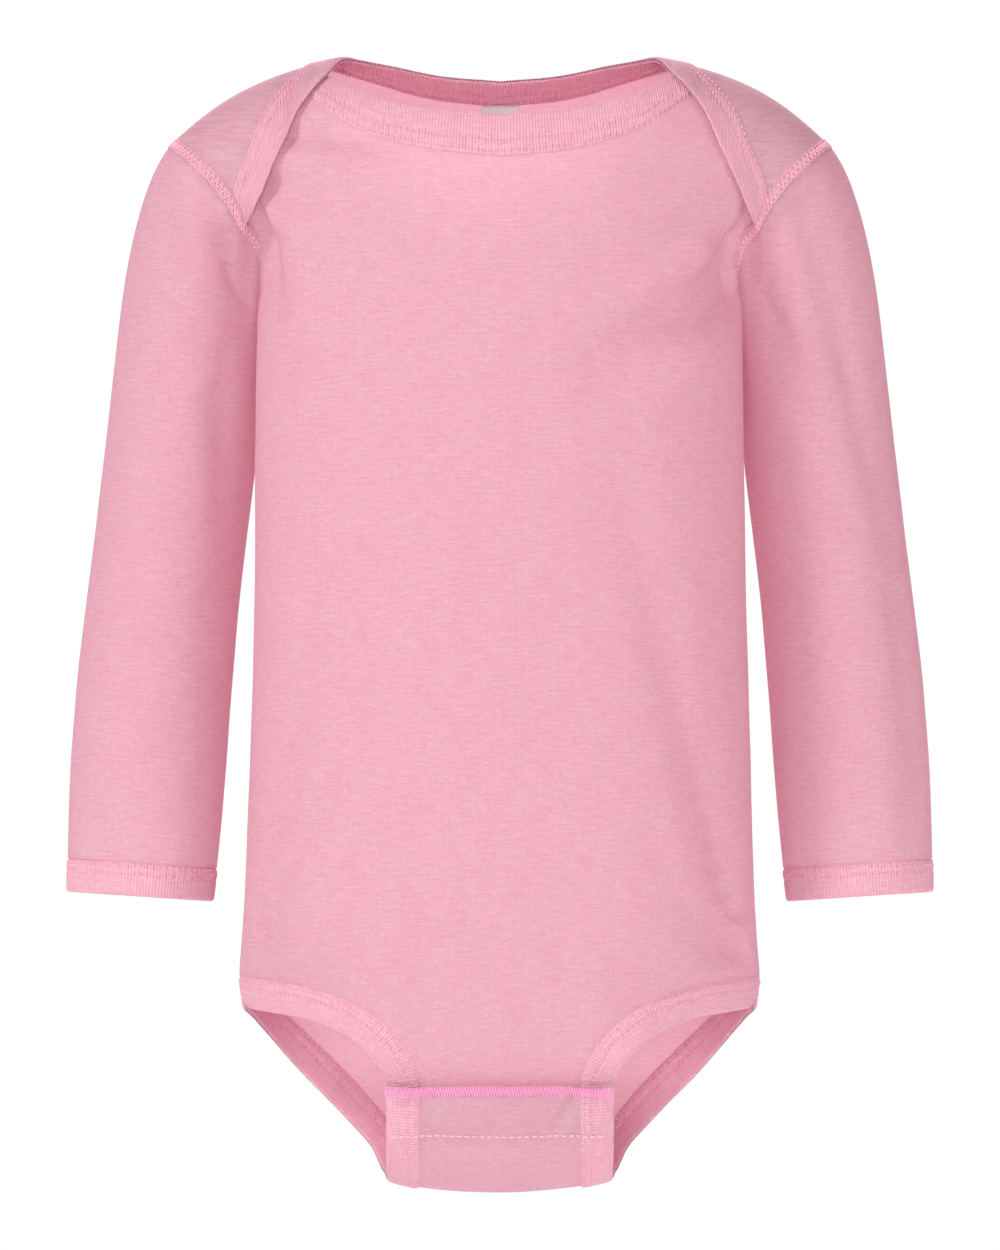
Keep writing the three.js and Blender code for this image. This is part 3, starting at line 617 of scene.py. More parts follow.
def cloth_piece(name, middle, normal, half, uv, material, relief=0.0, wraps=False):
    rows, columns = middle.shape[:2]
    half = np.broadcast_to(np.asarray(half, float), (rows, columns))[..., None]
    relief = np.broadcast_to(np.asarray(relief, float), (rows, columns))[..., None]
    outer = middle + normal * (half + relief)
    inner = middle - normal * (half + relief)
    points = np.concatenate([outer.reshape(-1, 3), inner.reshape(-1, 3)])
    both_uv = np.concatenate([uv.reshape(-1, 2)] * 2)
    count = rows * columns
    quads = [grid_faces(rows, columns, 0, False, wraps), grid_faces(rows, columns, count, True, wraps)]
    index = np.arange(count).reshape(rows, columns)
    if wraps:
        index = np.concatenate([index, index[:, :1]], 1)
    else:
        quads.append(rim_faces(index[:, 0] + count, index[:, 0])[:, ::-1])
        quads.append(rim_faces(index[:, -1], index[:, -1] + count)[:, ::-1])
    quads.append(rim_faces(index[0], index[0] + count)[:, ::-1])
    quads.append(rim_faces(index[-1] + count, index[-1])[:, ::-1])
    quads = face_out(points, np.concatenate(quads))
    return new_piece(name, points, quads, both_uv, material)


def single_cloth(name, point, uv, material, outward, wraps=False):
    """One layer of thin cloth, whose faces look outward (1) or are turned to (-1)."""
    rows, columns = point.shape[:2]
    quads = grid_faces(rows, columns, 0, outward < 0, wraps)
    return new_piece(name, point.reshape(-1, 3), quads, uv.reshape(-1, 2), material)


def arc_length(points, axis):
    steps = np.linalg.norm(np.diff(points, axis=axis), axis=-1)
    start = np.zeros_like(np.take(steps, [0], axis=axis))
    return np.concatenate([start, np.cumsum(steps, axis=axis)], axis=axis)


print("tools for cloth are ready")

# %% [markdown]
# ## Colours
#
# Hex colours are what the eye picks from a screen, in sRGB. Blender mixes light in linear numbers,
# so each hex value goes through one function first.


# %% Hex to linear
def linear(hex_colour):
    channels = [int(hex_colour[k : k + 2], 16) / 255 for k in (1, 3, 5)]
    return [c / 12.92 if c <= 0.04045 else ((c + 0.055) / 1.055) ** 2.4 for c in channels] + [1.0]


def add_node(tree, kind, links=None, **settings):
    """Add a node; settings are sockets by name or properties, links are the sockets that feed it."""
    node = tree.nodes.new(kind)
    for name, value in settings.items():
        if name in node.inputs:
            node.inputs[name].default_value = value
        else:
            setattr(node, name, value)
    for name, source in (links or {}).items():
        tree.links.new(source, node.inputs[name])
    return node


print("pink in linear light:", [round(c, 3) for c in linear("#f0a0b8")[:3]])

# %% [markdown]
# ## Heathered single jersey
#
# The cloth is a fine single jersey, knitted from a melange yarn: pink cotton spun with a few pale
# fibres. The eye gets three things from it. The loops stand in upright columns, the wales, which
# catch the light as fine lines; the colour between them is darkened, a painted shade for the hollows
# of the knit. The yarn runs crosswise, so where it is paler or thicker it leaves short streaks across
# the body, climbing a little because a round machine knits in a spiral. And it is thin: light from
# behind comes through and warms every hollow. It has no gloss, only the sheen of loose fibre ends.
# The real wales stand 0.7 mm apart; they are drawn 0.95 mm apart, so that the render can hold them.

# %% Heathered jersey material
WALE_PITCH = 0.95
STREAK_LENGTH = 7.0
STREAK_HEIGHT = 0.9
FLECK_LENGTH = 2.0
FLECK_HEIGHT = 0.6
PATCH_LENGTH = 22.0
PATCH_HEIGHT = 14.0
COURSE_CLIMB = math.radians(8)
BUMP_DISTANCE = 0.0004  # metres, as the bump node takes it
BUMP_STRENGTH = 0.3
NOISE_ROUGHNESS = 0.6
WOBBLE_SCALE = 0.4
PATCH_SHARE = 0.06  # how much the wide patches count beside streaks and flecks
FLECK_RELIEF = 0.45
COTTON_ROUGHNESS = 0.92
COTTON_SHEEN = 0.2
COTTON_GLOSS = 0.2
THROUGH_COLOUR = "#f6b6c8"
JERSEY_COLOURS = ("#cda1b0", "#d7b3bf", "#e0c6cf")


def stretched_noise(tree, cloth, length, height, climb, detail):
    placed = add_node(tree, "ShaderNodeMapping", {"Vector": cloth})
    placed.inputs["Rotation"].default_value = (0, 0, -climb)
    placed.inputs["Scale"].default_value = (1 / (length * MM), 1 / (height * MM), 1)
    noise = {"Scale": 1.0, "Detail": detail, "Roughness": NOISE_ROUGHNESS}
    return add_node(tree, "ShaderNodeTexNoise", {"Vector": placed.outputs[0]}, **noise).outputs[0]


def mixed(tree, kind, factor, a, b):
    """A Mix node for numbers or colours. Each input is a socket or a constant."""
    node = add_node(tree, "ShaderNodeMix", data_type=kind)
    sockets = {"FLOAT": (0, 2, 3), "RGBA": (0, 6, 7)}[kind]
    for socket, value in zip(sockets, (factor, a, b)):
        if isinstance(value, bpy.types.NodeSocket):
            tree.links.new(value, node.inputs[socket])
        else:
            node.inputs[socket].default_value = value
    return node.outputs[0 if kind == "FLOAT" else 2]


def knit_material(name, colours, wale_pitch, painted_shade_share, wobble, spread, light_through):
    deep, mid, pale = [linear(c) for c in colours]
    material = bpy.data.materials.new(name)
    material.use_nodes = True
    tree = material.node_tree
    shader = tree.nodes["Principled BSDF"]
    cloth = add_node(tree, "ShaderNodeUVMap", uv_map="cloth").outputs[0]
    streak = stretched_noise(tree, cloth, STREAK_LENGTH, STREAK_HEIGHT, COURSE_CLIMB, 3.0)
    fleck = stretched_noise(tree, cloth, FLECK_LENGTH, FLECK_HEIGHT, COURSE_CLIMB, 2.0)
    patch = stretched_noise(tree, cloth, PATCH_LENGTH, PATCH_HEIGHT, COURSE_CLIMB, 1.0)
    yarn = mixed(tree, "FLOAT", PATCH_SHARE, mixed(tree, "FLOAT", 0.5, streak, fleck), patch)
    ramp = add_node(tree, "ShaderNodeValToRGB", {"Fac": yarn})
    ramp.color_ramp.elements[0].position = 0.5 - spread
    ramp.color_ramp.elements[0].color = deep
    ramp.color_ramp.elements[1].position = 0.5 + spread
    ramp.color_ramp.elements[1].color = pale
    ramp.color_ramp.elements.new(0.5).color = mid
    # a band texture of scale s repeats 20 s times in 2 pi units of length
    waves = {"wave_type": "BANDS", "bands_direction": "X", "Scale": 2 * math.pi / (20 * wale_pitch * MM)}
    waves.update({"Distortion": wobble, "Phase Offset": math.pi, "Detail": 1.0, "Detail Scale": WOBBLE_SCALE})
    wale = add_node(tree, "ShaderNodeTexWave", {"Vector": cloth}, **waves)
    # painted shade: the colour between the wales is darkened by this share, standing in for the shade in the
    # knit's hollows
    painted_shade_colour = [c * (1 - painted_shade_share) for c in mid[:3]] + [1.0]
    on_wale = mixed(tree, "FLOAT", wale.outputs["Fac"], 0.5, 1.0)
    tree.links.new(mixed(tree, "RGBA", on_wale, painted_shade_colour, ramp.outputs[0]), shader.inputs["Base Color"])
    relief = mixed(tree, "FLOAT", FLECK_RELIEF, wale.outputs["Fac"], fleck)
    strength = {"Strength": BUMP_STRENGTH, "Distance": BUMP_DISTANCE}
    bump = add_node(tree, "ShaderNodeBump", {"Height": relief}, **strength)
    tree.links.new(bump.outputs[0], shader.inputs["Normal"])
    shader.inputs["Roughness"].default_value = COTTON_ROUGHNESS
    shader.inputs["Sheen Weight"].default_value = COTTON_SHEEN
    shader.inputs["Sheen Roughness"].default_value = 0.5
    shader.inputs["Sheen Tint"].default_value = linear("#fbe6ec")
    shader.inputs["Specular IOR Level"].default_value = COTTON_GLOSS
    through = add_node(tree, "ShaderNodeBsdfTranslucent", Color=linear(THROUGH_COLOUR))
    both = add_node(tree, "ShaderNodeMixShader")
    both.inputs[0].default_value = light_through
    tree.links.new(shader.outputs[0], both.inputs[1])
    tree.links.new(through.outputs[0], both.inputs[2])
    tree.links.new(both.outputs[0], tree.nodes["Material Output"].inputs["Surface"])
    return material


jersey = knit_material(
    "heathered single jersey",
    JERSEY_COLOURS,
    wale_pitch=WALE_PITCH,
    # painted shade between the wales, as a share of the colour
    painted_shade_share=0.14,
    wobble=1.5,
    spread=0.11,
    light_through=0.36,
)
print("material:", jersey.name)

# %% [markdown]
# ## Rib knit of the bindings
#
# The bindings are a strip of 1x1 rib, folded over the raw edge. Its ribs run across the strip, from
# the fold to the seam, and they are real ridges on the mesh. The material adds the melange, the
# soft nap and a painted shade of deeper pink between the ribs, where the light has bounced from
# yarn to yarn.

# %% Rib and thread materials
RIB_PITCH = 1.1
RIB_COLOURS = ("#e2a8b9", "#ebb8c7", "#f1c8d3")
rib_knit = knit_material(
    "folded rib knit",
    RIB_COLOURS,
    wale_pitch=RIB_PITCH,
    # painted shade between the ribs, as a share of the colour
    painted_shade_share=0.34,
    wobble=0.0,
    spread=0.12,
    light_through=0.2,
)


GRAIN_SHADE = 0.88  # how much darker the low places of the grain are
GRAIN_STRENGTH = 0.2
GRAIN_DISTANCE = 0.0002


def plain_material(name, colour, roughness, sheen, grain):
    material = bpy.data.materials.new(name)
    material.use_nodes = True
    tree = material.node_tree
    shader = tree.nodes["Principled BSDF"]
    place = add_node(tree, "ShaderNodeTexCoord").outputs["Object"]
    noise = add_node(tree, "ShaderNodeTexNoise", {"Vector": place}, Scale=1 / (grain * MM), Detail=2.0)
    ramp = add_node(tree, "ShaderNodeValToRGB", {"Fac": noise.outputs[0]})
    ramp.color_ramp.elements[0].color = [GRAIN_SHADE * c for c in linear(colour)[:3]] + [1]
    ramp.color_ramp.elements[1].color = linear(colour)
    tree.links.new(ramp.outputs[0], shader.inputs["Base Color"])
    strength = {"Strength": GRAIN_STRENGTH, "Distance": GRAIN_DISTANCE}
    bump = add_node(tree, "ShaderNodeBump", {"Height": noise.outputs[0]}, **strength)
    tree.links.new(bump.outputs[0], shader.inputs["Normal"])
    shader.inputs["Roughness"].default_value = roughness
    shader.inputs["Sheen Weight"].default_value = sheen
    return material


seam_thread = plain_material("spun polyester thread, pink", "#f8a6c1", 0.7, 0.3, 0.6)
bright_thread = plain_material("textured nylon thread, bright pink", "#ff9ccb", 0.55, 0.3, 0.6)
looper_thread = plain_material("textured looper thread, pale pink", "#f7b3c9", 0.7, 0.3, 0.6)
placket_thread = plain_material("spun polyester thread, pale pink", "#ffcfe0", 0.6, 0.2, 0.6)
label_tape = plain_material("woven satin tape, white", "#e4fbf6", 0.5, 0.1, 0.35)
snap_enamel = plain_material("enamelled brass snap, pink", "#e9b9c6", 0.35, 0.0, 2.0)
print("materials:", len(bpy.data.materials))

# %% [markdown]
# ## Front and back
#
# Each panel is one grid over the body surface, fine enough for every fold. Its rows start at the
# crotch end, follow the leg edge, then the side seam, and end where the neck binding is sewn on.
# The last rows run on under the binding, as the real cloth does. Jersey is 0.6 mm thick, and every
# raw edge of it is hidden in a seam, so one layer of faces is enough.

# %% Panels
PANEL_COLUMNS = 180
PANEL_ROWS = {"front": (50, 120, 84), "back": (104, 120, 96)}  # along leg, side seam and armhole
SEAM_DIP = 0.7
SEAM_DIP_WIDTH = 1.6
SEAM_DIP_STARTS = (4, 16)  # millimetres above the foot of the side seam
SEAM_DIP_ENDS = (0.98, 1.02)  # in v, at the armpit
HALF_GIRTH = 120
COLUMNS_CROWD = 0.06  # the columns stand closer together near the side seams


def panel_heights(face, u, seam):
    end = face["levels"][-1][0]
    side = SIDE_SEAM_AT[face["name"]] / end
    top = column(seam, NECK, "up", abs(u)) + SEAM_TUCK
    leg, flank, yoke = PANEL_ROWS[face["name"]]
    parts = [np.linspace(0, side, leg + 1)[:, None] * np.ones_like(u)]
    parts.append(np.linspace(side, 1, flank + 1)[1:, None] * np.ones_like(u))
    parts.append(1 + np.linspace(0, 1, yoke + 1)[1:, None] * (top - 1))
    return np.concatenate(parts)


def seam_dip(face, u, v):
    from_seam = (1 - abs(u)) * HALF_GIRTH
    at = v * face["levels"][-1][0] - SIDE_SEAM_AT[face["name"]]
    on_seam = smoothstep(at, *SEAM_DIP_STARTS) * (1 - smoothstep(v, *SEAM_DIP_ENDS))
    return -SEAM_DIP * np.exp(-((from_seam / SEAM_DIP_WIDTH) ** 2)) * on_seam


def make_panel(face, seam):
    share = np.linspace(-1, 1, PANEL_COLUMNS + 1)
    u = share + COLUMNS_CROWD * np.sin(math.pi * share)
    v = panel_heights(face, u, seam)
    u = np.broadcast_to(u, v.shape)
    point = panel_point(face, u, v, seam_dip(face, u, v))
    across = arc_length(point, 1)
    middle = PANEL_COLUMNS // 2
    across = across - across[:, middle : middle + 1]
    along = arc_length(point[:, middle : middle + 1], 0) + point[..., 2] - point[:, middle : middle + 1, 2]
    uv = np.stack([across, along], -1)
    piece = single_cloth(face["name"] + "_cloth", point, uv, jersey, -face["side"])
    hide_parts(face["name"])
    return piece, point, -face["side"] * grid_normals(point)


front_cloth, front_points, front_normals = make_panel(FRONT, front_seam)
back_cloth, back_points, back_normals = make_panel(BACK, back_seam)
print("front", len(front_cloth.data.polygons), "faces, back", len(back_cloth.data.polygons))

# %% [markdown]
# ## Ribbed bindings
#
# A binding strip is folded over the raw edge and held by two rows of stitches. Seen from outside it
# has a rounded fold, a flat stretch with ribs, and two shallow furrows where the stitches pull it
# in, deepest at the needle holes. Its section is worked out once and swept along each edge.

# %% Section of a binding
RIB_RELIEF = 0.3
STITCH = 2.3
STITCH_ROWS = (1.2, 4.3)  # distance of the two rows from the sewn edge
FURROW = 0.26
FURROW_WIDTH = 0.5
NEEDLE_HOLE = 0.4
# places across the strip, in millimetres from the sewn edge, close together at stitches and fold
STRIP_STATIONS = np.array(
    [0, 0.3, 0.75, 1.2, 1.7, 2.3, 3.1, 3.8, 4.3, 4.9, 5.8, 7, 8.4, 9.8, 10.8, 11.5, 11.85, 12]
)
MIDDLE_STATION = len(STRIP_STATIONS) // 2
FOLD_START = 10.6
FOLD_END_SHARE = 0.02  # keeps the fold's last row from closing to a line
RAW_EDGE_RISE = (-0.6, 1.6)
RIBS_START = (0.1, 0.8)
BINDING_SUNK = 0.3  # the strip's middle lies this much below the jersey


def strip_half(across):
    fold = np.sqrt(np.clip(1 - ((across - FOLD_START) / (BINDING - FOLD_START)) ** 2, FOLD_END_SHARE, 1))
    raw_edge = smoothstep(across, *RAW_EDGE_RISE)
    return BINDING_HALF * np.where(across > FOLD_START, fold, 1) * raw_edge


def stitch_pull(along):
    """1 at a needle hole and 0 between two of them."""
    return (0.5 + 0.5 * np.cos(2 * math.pi * along / STITCH)) ** 4


def strip_relief(along, across):
    ribs = 0.5 + 0.5 * np.cos(2 * math.pi * along / RIB_PITCH)
    shape = RIB_RELIEF * ribs * smoothstep(across, *RIBS_START)
    pulled_in = FURROW + NEEDLE_HOLE * stitch_pull(along)
    for row in STITCH_ROWS:
        shape = shape - pulled_in * np.exp(-(((across - row) / FURROW_WIDTH) ** 2))
    return shape


def whole_steps(length, pitch):
    """Stretch that fits a whole number of steps into a closed length."""
    return round(length / pitch) * pitch / length


def strip_piece(name, node, point, normal, wraps=False):
    """point and normal are (along, across) grids: the first axis runs along the binding."""
    along = arc_length(point, 0)[:, MIDDLE_STATION : MIDDLE_STATION + 1]
    length = float(along[-1, 0])
    if wraps:
        length += float(np.linalg.norm(point[-1, MIDDLE_STATION] - point[0, MIDDLE_STATION]))
        along = along * whole_steps(length, RIB_PITCH)
    across = np.broadcast_to(STRIP_STATIONS, point.shape[:2])
    uv = np.stack([np.broadcast_to(along, point.shape[:2]), across], -1)
    half = strip_half(across)
    relief = strip_relief(along, across)
    # rows of the mesh run across the strip, so that a closed binding can wrap along its columns
    turned = [np.swapaxes(a, 0, 1) for a in (point, normal, half, uv, relief)]
    piece = cloth_piece(name, turned[0], turned[1], turned[2], turned[3], rib_knit, turned[4], wraps)
    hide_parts(node)
    return piece, length


print("ribs on 100 mm of binding:", round(100 / RIB_PITCH))


# %% Neck bindings
RIB_STEP = RIB_PITCH / 4
FINE_POINTS = 1601


def even_stations(path, step):
    """Even places along a path, in steps of about that many millimetres, and the path's own lengths."""
    length = arc_length(path, 0)
    count = int(round(length[-1] / step))
    return np.linspace(0, length[-1], count + 1), length


def resample(values, places, length):
    return np.stack([np.interp(places, length, values[:, k]) for k in range(values.shape[1])], 1)


def neck_strip(face, edge):
    sewn = shifted_edge(face, edge, binding_width)
    fine = np.linspace(-1, 1, FINE_POINTS)
    path = panel_point(face, fine, column(edge, NECK, "up", abs(fine)))
    even, length = even_stations(path, RIB_STEP)
    u = np.interp(even, length, fine)[:, None]
    start = column(sewn, NECK, "up", abs(u))
    finish = column(edge, NECK, "up", abs(u))
    v = start + (finish - start) * STRIP_STATIONS / BINDING
    point = panel_point(face, np.broadcast_to(u, v.shape), v, -BINDING_SUNK)
    return point, face["side"] * grid_normals(point)


front_strip = neck_strip(FRONT, FRONT_NECK)
back_strip = neck_strip(BACK, BACK_NECK)
front_neck, front_neck_length = strip_piece("front_neck_rib", "front_neck_binding", *front_strip)
back_neck, back_neck_length = strip_piece("back_neck_rib", "back_neck_binding", *back_strip)
print("neck bindings:", round(front_neck_length), "and", round(back_neck_length), "mm long")

# %% [markdown]
# ## Leg bindings
#
# The leg binding starts at the front's crotch end, hidden under the flap, runs up round the leg and
# back down to the flap's own end. It stands a little more upright than the panel that carries it,
# because the elastic rib holds the opening in.

# %% Leg bindings
LEG_BINDING_LEVEL = 0.7
LEG_CURL = 1.2
LEG_SMOOTHING = 12  # stations either side
LEG_OVERLAP = 0.2  # millimetres by which the binding starts inside the panel's edge


def leg_path(side):
    """Points and normals along the leg edge, from the front's crotch end to the flap's end."""
    edge = PANEL_COLUMNS if side > 0 else 0
    front_rows = PANEL_ROWS["front"][0] + 1
    back_rows = PANEL_ROWS["back"][0]

    def joined(front, back):
        return np.concatenate([front[:front_rows, edge], back[:back_rows, edge][::-1]])

    return joined(front_points, back_points), joined(front_normals, back_normals)


def smooth_along(values, width):
    kernel = np.hanning(2 * width + 3)[1:-1]
    kernel /= kernel.sum()
    padded = np.concatenate([np.repeat(values[:1], width, 0), values, np.repeat(values[-1:], width, 0)])
    return np.stack([np.convolve(padded[:, k], kernel, "valid") for k in range(values.shape[1])], 1)


def leg_strip(side):
    point, normal = leg_path(side)
    even, length = even_stations(point, RIB_STEP)
    point = resample(point, even, length)
    normal = unit(resample(normal, even, length))
    tangent = unit(smooth_along(np.gradient(point, axis=0), LEG_SMOOTHING))
    level = np.stack([side * np.maximum(tangent[:, 1], 0), -side * tangent[:, 0], 0 * tangent[:, 0]], 1)
    facing = smooth_along(lerp(normal, level, LEG_BINDING_LEVEL), LEG_SMOOTHING)
    away = unit(np.cross(tangent, facing) * side)
    out = unit(np.cross(away, tangent) * side)
    across = STRIP_STATIONS[None, :, None]
    curl = LEG_CURL * (across / BINDING) ** 2
    strip = point[:, None] + away[:, None] * (across - LEG_OVERLAP) - out[:, None] * (curl + BINDING_SUNK)
    return strip, np.broadcast_to(out[:, None], strip.shape)


leg_strips = {word: leg_strip(side) for word, side in (("left", 1), ("right", -1))}
leg_pieces = {}
for word, strip in leg_strips.items():
    leg_pieces[word], leg_length = strip_piece(word + "_leg_rib", word + "_leg_binding", *strip)
print("leg binding:", round(leg_length), "mm long")

# %% [markdown]
# ## Armholes
#
# The armhole is one closed line through the layers of the shoulder. It starts at the armpit, climbs
# the edge of the front, crosses onto the lap where the lap begins, and comes down the back. Both
# the sleeve's head and the flat seam are worked out from this line.

# %% Line beside the armhole
LAP_MEETS = (1.19, 1.29)  # heights in v between which the line crosses from the front to the lap
LAP_END = 1.1  # the lap's cloth is measured from here on
FRONT_END = 2.6  # and the front's up to here
PIT_SHARE = 0.05  # share of a turn over which the line moves in from the armpit
PROBE = 0.01


def armhole_line(t, inset, raised):
    """Points of the uppermost cloth, so many millimetres in from its edge. t is 0 at the armpit."""
    turn = t % 1
    front_v = 1 + 2 * turn
    inset = inset * smoothstep(np.minimum(turn, 1 - turn), 0.0, PIT_SHARE)
    lines = []
    for face, v in ((FRONT, np.minimum(front_v, FRONT_END)), (BACK, 4 - np.maximum(front_v, LAP_END))):
        beside = panel_point(face, 1.0, v) - panel_point(face, 1 - PROBE, v)
        per_u = np.linalg.norm(beside, axis=-1) / PROBE
        lines.append(panel_point(face, 1 - inset / per_u, v, raised))
    return lerp(lines[0], lines[1], smoothstep(front_v, *LAP_MEETS)[..., None])


turns = np.linspace(0, 1, 400)
armhole_length = arc_length(armhole_line(turns, 0.0, 0.0), 0)[-1]
print("armhole:", round(float(armhole_length)), "mm round")

# %% [markdown]
# ## Sleeves
#
# A sleeve starts as the armhole, a leaning loop, and ends as the oval of the cuff. Between them
# each thread of the cloth follows a curve that leaves the shoulder in the shoulder's direction and
# arrives in the arm's. Under the arm it falls straight down instead, close beside the body.


# %% Sleeve surface
UNDERARM = (0.05, 0.22)  # share of a turn, from the armpit, over which the cloth starts to fall straight
SLEEVE_GIRTH = 168
HEAD_SUNK = -0.6  # the head starts this much below the band, but not on the tip of the shoulder
HEAD_INSET = 1.0
TIP_REACH = 0.09
PIT_LEAVE = 16
PIT_ARRIVE = 34


def armhole_direction(t):
    front_v = np.clip(1 + 2 * t, 1, 2)
    back_v = np.clip(3 - 2 * t, 1, 2)
    one = np.ones_like(t)
    front = smooth_body(FRONT, one, front_v) - smooth_body(FRONT, one - STEP, front_v)
    back = smooth_body(BACK, one, back_v) - smooth_body(BACK, one - STEP, back_v)
    return unit(np.where((t <= 0.5)[..., None], front, back))


def ring_frame(at):
    def centre(a):
        return np.stack([column(SLEEVE_RINGS, RING, name, a) for name in "xyz"], -1)

    down = unit(centre(at + 1) - centre(at - 1))
    outward = unit(np.stack([-down[..., 2], 0 * at, down[..., 0]], -1))
    return centre(at), down, outward, np.cross(outward, down)


def ring_point(at, t):
    centre, _, outward, backward = ring_frame(at)
    width = column(SLEEVE_RINGS, RING, "half_width", at)[..., None]
    depth = column(SLEEVE_RINGS, RING, "half_depth", at)[..., None]
    angle = (2 * math.pi * t)[..., None]
    return centre - outward * width * np.cos(angle) - backward * depth * np.sin(angle)


def smooth_sleeve(t, h):
    """h is 0 at the armhole and 1 at the end of the head, and grows by 1 a millimetre down the arm."""
    turn = t % 1
    from_pit = np.minimum(turn, 1 - turn)
    pit = (1 - smoothstep(from_pit, *UNDERARM))[..., None]
    zero = np.zeros_like(h)
    end = ring_point(zero, turn)
    off_tip = 1 - np.exp(-(((turn - 0.5) / TIP_REACH) ** 2))
    start = armhole_line(turn, HEAD_INSET, HEAD_SUNK * off_tip)
    chord = unit(end - start)
    leave = lerp(armhole_direction(turn), chord, pit) * lerp(HEAD_LEAVE, PIT_LEAVE, pit)
    arrive = ring_frame(zero)[1] * lerp(HEAD_ARRIVE, PIT_ARRIVE, pit)
    s = np.clip(h, 0, 1)[..., None]
    head = (
        start * (2 * s**3 - 3 * s**2 + 1)
        + leave * (s**3 - 2 * s**2 + s)
        + end * (3 * s**2 - 2 * s**3)
        + arrive * (s**3 - s**2)
    )
    arm = ring_point(np.maximum(h - 1, 0), turn)
    return np.where((h > 1)[..., None], arm, head)


SLEEVE_RIPPLE_SHIFT = 40  # so that the sleeve doesn't repeat the body's unevenness


def sleeve_grid(folds, t, h):
    smooth = smooth_sleeve(t, h)
    normal = -grid_normals(smooth, wraps=True)
    x, z = smooth[..., 0], smooth[..., 2]
    in_front, behind = (fold_height(folds[part], x, z) for part in ("front", "back"))
    seen = np.where(normal[..., 1] < 0, in_front, behind)
    height = abs(normal[..., 1]) * seen + ripple(x + SLEEVE_RIPPLE_SHIFT, z)
    return smooth + normal * (height * smoothstep(h, 0.0, 0.1))[..., None]


half_width, half_depth = SLEEVE_RINGS[-1][-2:]
print("cuff seam:", round(2 * math.pi * math.sqrt((half_width**2 + half_depth**2) / 2)), "mm round")

# %% Sleeve pieces
SLEEVE_SIDES = 160
HEAD_ROWS = 70
ARM_ROWS = 112


def make_sleeve(word, side, folds):
    t = np.arange(SLEEVE_SIDES) / SLEEVE_SIDES
    head = np.linspace(0, 1, HEAD_ROWS + 1)
    arm = 1 + np.linspace(0, SLEEVE_LENGTH, ARM_ROWS + 1)[1:]
    t, h = np.meshgrid(t, np.concatenate([head, arm]))
    point = sleeve_grid(folds, t, h)
    centre, down, _, _ = ring_frame(np.array(0.0))
    along = np.where(h > 1, h - 1, ((point - centre) * down).sum(-1))
    uv = np.stack([t * SLEEVE_GIRTH, -along], -1)
    point = point * np.array([side, 1, 1])
    piece = single_cloth(word + "_sleeve_cloth", point, uv, jersey, -side, wraps=True)
    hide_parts(word + "_sleeve")
    return piece, point, -side * grid_normals(point, wraps=True)


def sleeve_folds(word, main):
    fine = FINE_SLEEVE_FOLDS[word]
    return {part: all_folds(main[part], fine[part]) for part in ("front", "back")}


sleeves = {
    "left": make_sleeve("left", 1, sleeve_folds("left", LEFT_SLEEVE_FOLDS)),
    "right": make_sleeve("right", -1, sleeve_folds("right", RIGHT_SLEEVE_FOLDS)),
}
print("sleeve faces:", len(sleeves["left"][0].data.polygons))


# %% Cuff bindings
CUFF_TAPER = 0.06
CUFF_SUNK = 0.7
CUFF_OVERLAP = 0.1


def closed(ring):
    return np.concatenate([ring, ring[:1]])


def cuff_strip(word, side):
    _, point, normal = sleeves[word]
    ring, out = closed(point[-1]), closed(normal[-1])
    even, length = even_stations(ring, RIB_STEP)
    ring = resample(ring, even[:-1], length)
    out = unit(resample(out, even[:-1], length))
    down = ring_frame(np.array(float(SLEEVE_LENGTH)))[1] * np.array([side, 1, 1])
    across = STRIP_STATIONS[None, :, None]
    sunk = CUFF_SUNK + across * CUFF_TAPER
    strip = ring[:, None] + down * (across - CUFF_OVERLAP) - out[:, None] * sunk
    return strip, np.broadcast_to(out[:, None], strip.shape)


cuff_pieces = {}
cuff_strips = {}
for word, side in (("left", 1), ("right", -1)):
    strip = cuff_strip(word, side)
    cuff_strips[word] = strip
    cuff_pieces[word], cuff_length = strip_piece(word + "_cuff_rib", word + "_cuff", *strip, wraps=True)
print("cuff:", round(cuff_length), "mm round")

# %% [markdown]
# ## Stitches
#
# A coverstitch shows as a row of short thread bars, each sunk a little at its ends. Modelling every
# bar is cheap if they are joined in one mesh: each is a small six-sided bead, stretched along the
# row and laid on the cloth. The stitch length is 2.3 mm, as on the real garment.

# %% Thread bars
# rings of one bead: share of its length, girth, and lift off the cloth
BEAD_RINGS = ((0.0, 0.35, -0.35), (0.25, 0.95, 0.15), (0.75, 0.95, 0.15), (1.0, 0.35, -0.35))
BEAD_SIDES = 6
STITCH_GAP = 0.6
THREAD = 0.52


def bead_faces():
    quads = []
    for ring in range(len(BEAD_RINGS) - 1):
        for k in range(BEAD_SIDES):
            a = ring * BEAD_SIDES + k
            b = ring * BEAD_SIDES + (k + 1) % BEAD_SIDES
            quads.append((a, b, b + BEAD_SIDES, a + BEAD_SIDES))
    last = (len(BEAD_RINGS) - 1) * BEAD_SIDES
    quads += [(0, 3, 2, 1), (0, 5, 4, 3)]
    quads += [(last, last + 1, last + 2, last + 3), (last, last + 3, last + 4, last + 5)]
    return np.array(quads)


